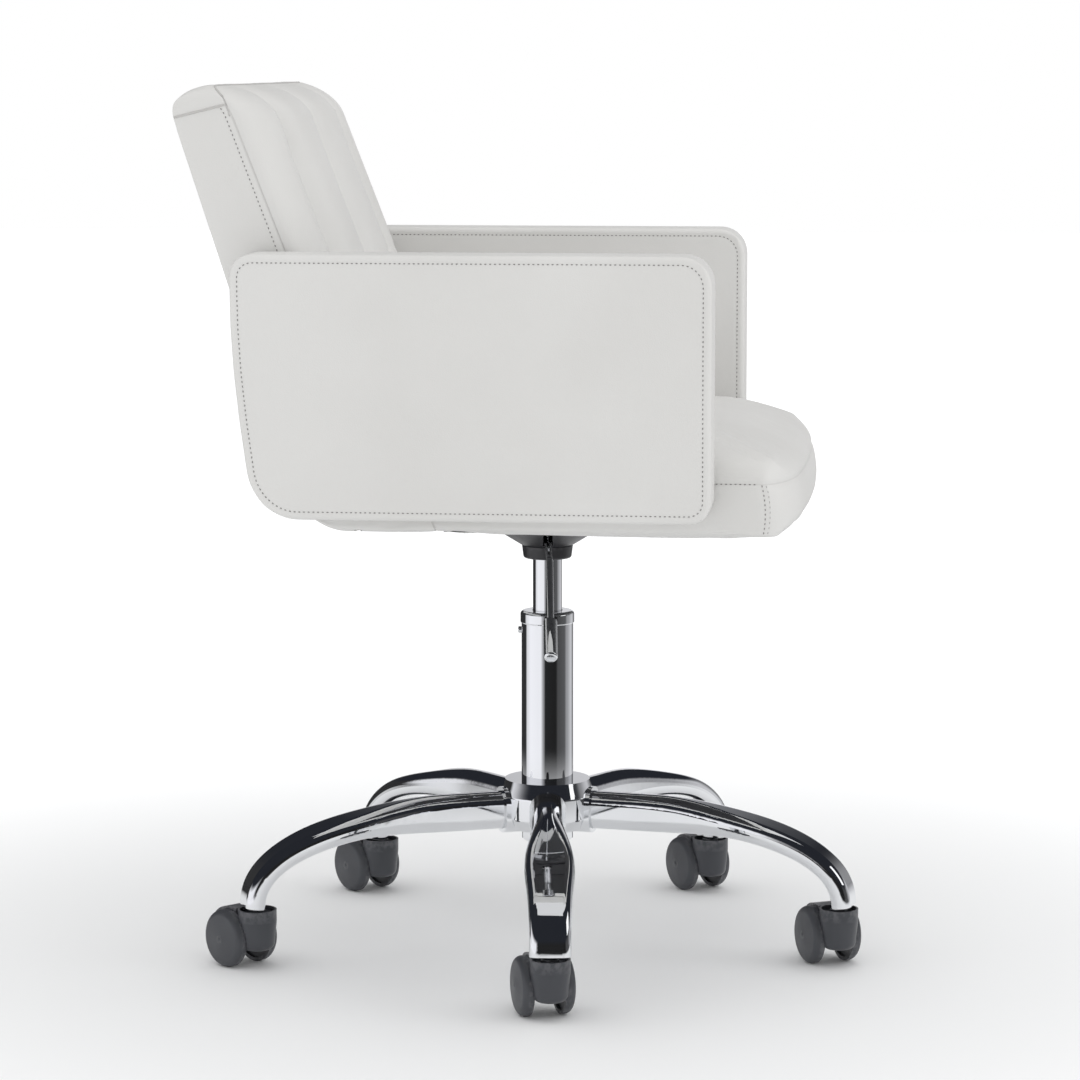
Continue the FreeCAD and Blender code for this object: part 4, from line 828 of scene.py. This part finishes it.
def makeBack():
    plan = backPlan
    halfX, halfY, halfZ = plan["half"], plan["depth"] / 2, (plan["top"] - plan["bottom"]) / 2
    middleZ = (plan["top"] + plan["bottom"]) / 2

    def bulge(x, z):
        side = np.clip(1 - np.abs(x / halfX) ** plan["power"], 0, 1) ** 0.5
        value = plan["bulge"] * side
        deep = np.clip((z - (plan["top"] - plan["pleat"])) / 20.0, 0, 1)
        for place, groove in zip(plan["channels"], plan["grooves"]):
            apart = np.abs(x - place)
            sharp, soft = np.exp(-(apart / plan["grooveWidth"]) ** 1.2), np.exp(-(apart / 26.0) ** 2)
            value = value - groove * (sharp * (0.45 + 0.55 * deep) + 0.45 * soft * (1 - deep)) * side
        return value

    def lean(points):
        x, z = points[:, 0], points[:, 2] + middleZ
        share = np.clip((points[:, 1] + halfY) / plan["depth"], 0, 1)
        front = plan["front"][0] + plan["front"][1] * (z - plan["refHeight"])
        rear = plan["rear"][0] + plan["rear"][1] * (z - plan["refHeight"])
        y = front + share * (rear - front)
        crown = bulge(x, z) * (1 - share) ** 1.5
        return np.stack([x, y - crown, z], axis=1)

    dense = [c + d for c in plan["channels"] for d in (-8.0, -4.0, -1.8, 0.0, 1.8, 4.0, 8.0)]
    points, faces = cellBox(spread(-halfX, halfX, plan["cell"], dense), spread(-halfY, halfY, 5.0),
                            spread(-halfZ, halfZ, plan["cell"]))
    edge = plan["edge"]
    for s in (1, -1):
        roundEdge(points, 0, s * halfX, edge, 1, -halfY, edge)
        roundEdge(points, 0, s * halfX, edge, 1, halfY, edge)
    roundEdge(points, 1, -halfY, plan["topRound"], 2, halfZ, plan["topRound"])
    roundEdge(points, 1, halfY, plan["rearRound"][0], 2, halfZ, plan["rearRound"][1])
    for s in (1, -1):
        roundEdge(points, 0, s * halfX, plan["shoulder"][0], 2, halfZ, plan["shoulder"][1])
    r = plan["topRound"]

    def edgeSeam(s, inset):
        # up the side of the front panel to its rounded top corner
        turn = np.radians(np.linspace(0, 22, 8))
        path = [(-halfY + inset, -halfZ), (-halfY + inset, halfZ - r)]
        inner = r - inset
        path += [(-halfY + r - inner * math.cos(a), halfZ - r + inner * math.sin(a)) for a in turn[1:]]
        flat = refine(np.array(path))
        return lean(np.column_stack([np.full(len(flat), s * halfX), flat]))

    def topSeam():
        # across the top and down both shoulders
        reach, drop = plan["shoulder"]
        share = np.linspace(0.0, 1.0, 12)
        x = np.concatenate([-halfX + reach * (1 - np.cos(share * math.pi / 2)),
                            np.arange(-halfX + reach + 4.0, halfX - reach, 4.0),
                            halfX - reach * (1 - np.cos(share[::-1] * math.pi / 2))])
        shoulder = np.clip((np.abs(x) - halfX + reach) / reach, 0, 1)
        turn = np.radians(24.0 + 52.0 * np.sqrt(np.clip(1 - shoulder ** 2, 0, 1)))
        y = -halfY + r - r * np.cos(turn)
        z = halfZ - r + r * np.sin(turn) - drop * (1 - np.sqrt(np.clip(1 - shoulder ** 2, 0, 1))) * 0.5
        return lean(np.column_stack([x, y, z]))

    def sideSeam(s):
        # between a side panel and the top band
        share = np.linspace(0.05, 0.98, 14)
        z = 816.5 - 12.5 * share - middleZ
        return lean(np.column_stack([np.full(14, s * halfX), -halfY + share * plan["depth"], z]))

    def channel(place):
        z = np.linspace(halfZ - r, halfZ - plan["pleat"], 14)
        turn = np.radians(np.linspace(76, 0, 10))
        path = [(-halfY + r - r * math.cos(a), halfZ - r + r * math.sin(a)) for a in turn]
        path += [(-halfY, height) for height in z]
        flat = refine(np.array(path))
        return lean(np.column_stack([np.full(len(flat), place), flat]))

    def crossSeam():
        x = np.arange(-halfX + 1.0, halfX, 4.0)
        z = np.full(len(x), plan["crossSeam"] - middleZ)
        return lean(np.column_stack([x, np.full(len(x), -halfY), z]))

    channels = [channel(place) for place in plan["channels"]]
    seams = [edgeSeam(-1, 0.0), edgeSeam(1, 0.0), topSeam(), crossSeam()] + channels
    rear = points[:, 1] > halfY - 0.5
    cushion = upholster("backPad", "back_cushion", lean(points), faces, seams, plan, still=rear)
    sew("backPad.stitches", cushion, [edgeSeam(s, plan["stitchInset"]) for s in (-1, 1)])
    piped = [topSeam()[4:-4], sideSeam(-1), sideSeam(1)]
    cord("backPad.piping", cushion, piped, plan["pipingRadius"], "leather")
    # dark cords along the channels: painted shade in the creases
    cord("backPad.creaseShadeCords", cushion, channels, plan["creaseShadeRadius"], "creaseShade")
    return cushion


makeBack()

# ---- rear panel and rail

panelPlan = {
    "half": 236.5, "bottom": 474.0, "top": 798.0, "thick": 12.0, "refHeight": 480.0, "rear": (207.5, 0.325),
    "edge": 5.0, "seamInset": 9.0, "cell": 6.0, "rounds": (14.0, 14.0, 6.0, 6.0),
    "pressure": 2.0, "cap": 3.0, "ease": 30.0, "fold": 1.1, "foldWidth": 2.6, "fill": 0.85,
}


def makeRearPanel():
    plan = panelPlan
    halfX, halfY, halfZ = plan["half"], plan["thick"] / 2, (plan["top"] - plan["bottom"]) / 2
    middleZ = (plan["top"] + plan["bottom"]) / 2

    def lean(points):
        z = points[:, 2] + middleZ
        y = plan["rear"][0] + plan["rear"][1] * (z - plan["refHeight"]) - halfY + points[:, 1]
        return np.stack([points[:, 0], y, z], axis=1)

    points, faces = cellBox(spread(-halfX, halfX, plan["cell"]), np.linspace(-halfY, halfY, 5),
                            spread(-halfZ, halfZ, plan["cell"]))
    for s in (1, -1):
        roundEdge(points, 0, s * halfX, plan["edge"], 1, halfY, plan["edge"])
        roundEdge(points, 1, halfY, plan["edge"], 2, s * halfZ, plan["edge"])

    def loop(inset):
        flat = roundedLoop(halfX, halfZ, plan["rounds"], inset)
        return lean(np.column_stack([flat[:, 0], np.full(len(flat), halfY), flat[:, 1]]))

    panel = upholster("rearPad", "rear_panel", lean(points), faces, [loop(plan["seamInset"])], plan)
    sew("rearPad.stitches", panel, [loop(plan["seamInset"] + offset) for offset in (-2.6, 2.6)])


makeRearPanel()

railPlan = {
    "half": 239.5, "bottom": 433.5, "top": 473.0, "refHeight": 480.0, "front": (94.0, 0.389),
    "rear": (206.0, 0.325), "foot": 30.0, "edge": 6.0, "cell": 6.0,
    "pressure": 2.0, "cap": 2.0, "ease": 30.0, "fold": 1.0, "foldWidth": 2.6, "fill": 0.85,
}


def makeRail():
    plan = railPlan
    halfX, halfY, halfZ = plan["half"], 52.0, (plan["top"] - plan["bottom"]) / 2
    middleZ = (plan["top"] + plan["bottom"]) / 2

    def lean(points):
        z = points[:, 2] + middleZ
        front = plan["front"][0] + plan["front"][1] * (z - plan["refHeight"])
        rear = plan["rear"][0] + plan["rear"][1] * (z - plan["refHeight"])
        y = front + (points[:, 1] + halfY) / (2 * halfY) * (rear - front)
        return np.stack([points[:, 0], y, z], axis=1)

    points, faces = cellBox(spread(-halfX, halfX, plan["cell"]), spread(-halfY, halfY, 6.0),
                            spread(-halfZ, halfZ, 6.0))
    for s in (1, -1):
        roundEdge(points, 0, s * halfX, plan["edge"], 2, -halfZ, plan["edge"])
    roundEdge(points, 1, halfY, plan["foot"], 2, -halfZ, plan["foot"])
    x = np.arange(-halfX + 2, halfX, 4.0)
    seam = lean(np.column_stack([x, np.full(len(x), halfY - 40.0), np.full(len(x), -halfZ)]))
    rail = upholster("railPad", "back_rail", lean(points), faces, [seam], plan)
    sew("railPad.stitches", rail, [seam + np.array([0.0, offset, 0.0]) for offset in (-2.6, 2.6)])


makeRail()
print("upholstery made")

# ---- floor, soft light and the room that polished metal reflects

def aroundColumn(tree, vector):
    # direction round the column, in turns from +X, and distance from it
    parts = tree.nodes.new("ShaderNodeSeparateXYZ")
    tree.links.new(vector, parts.inputs[0])
    turn = maths(tree, "ARCTAN2", parts.outputs["Y"], parts.outputs["X"])
    squares = [maths(tree, "MULTIPLY", parts.outputs[axis], parts.outputs[axis]) for axis in "XY"]
    reach = maths(tree, "SQRT", maths(tree, "ADD", *squares))
    return maths(tree, "DIVIDE", turn, 2 * math.pi), reach, parts.outputs["Z"]


# what polished metal sees round the room: (turn from +X, in turns, and how light it is)
roomBands = ((0.0, 0.95), (0.025, 0.6), (0.05, 0.04), (0.205, 0.03), (0.24, 0.85), (0.30, 1.0), (0.43, 0.95),
             (0.47, 0.3), (0.49, 0.02), (0.62, 0.015), (0.65, 0.07), (0.74, 0.09), (0.78, 0.32), (0.87, 0.6),
             (0.92, 0.3), (0.95, 0.05), (0.975, 0.6), (1.0, 0.95))


def bandRamp(tree, turn):
    ramp = tree.nodes.new("ShaderNodeValToRGB")
    ramp.color_ramp.interpolation = "EASE"
    marks = ramp.color_ramp.elements
    while len(marks) > 1:
        marks.remove(marks[-1])
    for number, (place, light) in enumerate(roomBands):
        mark = marks[0] if number == 0 else marks.new(place)
        mark.position = place
        mark.color = (light, light, light * 1.03, 1.0)
    tree.links.new(maths(tree, "FRACT", turn), ramp.inputs["Fac"])
    return ramp.outputs["Color"]


floorFinish, floorTree, floorShader = newFinish("paleFloor", Roughness=0.85, Specular_IOR_Level=0.1)
place = addNode(floorTree, "ShaderNodeTexCoord").outputs["Object"]
turn, reach, _ = aroundColumn(floorTree, place)
isGlossy = addNode(floorTree, "ShaderNodeLightPath").outputs["Is Glossy Ray"]
farAway = remap(floorTree, reach, 0.55, 1.1, 0.0, 1.0, True)
floorTone = mixTone(floorTree, maths(floorTree, "MULTIPLY", isGlossy, farAway),
                    viewSettings["floorTone"][:3], bandRamp(floorTree, turn))
floorTree.links.new(floorTone, floorShader.inputs["Base Color"])
floorShader.inputs["Emission Color"].default_value = (1.0, 1.0, 1.0, 1.0)
glow = maths(floorTree, "MULTIPLY", remap(floorTree, reach, 0.45, 1.5, 0.0, 0.3, True),
             maths(floorTree, "SUBTRACT", 1.0, isGlossy))
floorTree.links.new(glow, floorShader.inputs["Emission Strength"])
groundPlane(viewSettings["floorSize"], floorFinish)

bpy.context.scene.view_settings.view_transform = "Standard"
world = bpy.data.worlds.new("studio")
bpy.context.scene.world = world
world.use_nodes = True
sky = world.node_tree.nodes["Background"]
sky.inputs["Strength"].default_value = viewSettings["skyPower"]
skyTree = world.node_tree
turn, reach, height = aroundColumn(skyTree, addNode(skyTree, "ShaderNodeTexCoord").outputs["Generated"])
ceiling = remap(skyTree, height, 0.14, 0.34, 0.0, 1.0, True)
room = mixTone(skyTree, ceiling, bandRamp(skyTree, turn), (0.02, 0.022, 0.028))
skyTree.links.new(mixTone(skyTree, addNode(skyTree, "ShaderNodeLightPath").outputs["Is Glossy Ray"],
                          viewSettings["skyTone"][:3], room), sky.inputs["Color"])

softBox("overhead", (-0.3, -0.3, 3.4), (0, 0, 0.4), (2.0, 2.0), 9.0)
softBox("front", (-0.6, -3.2, 1.9), (0, 0, 0.5), (1.6, 1.6), 10.0)
print("studio made")
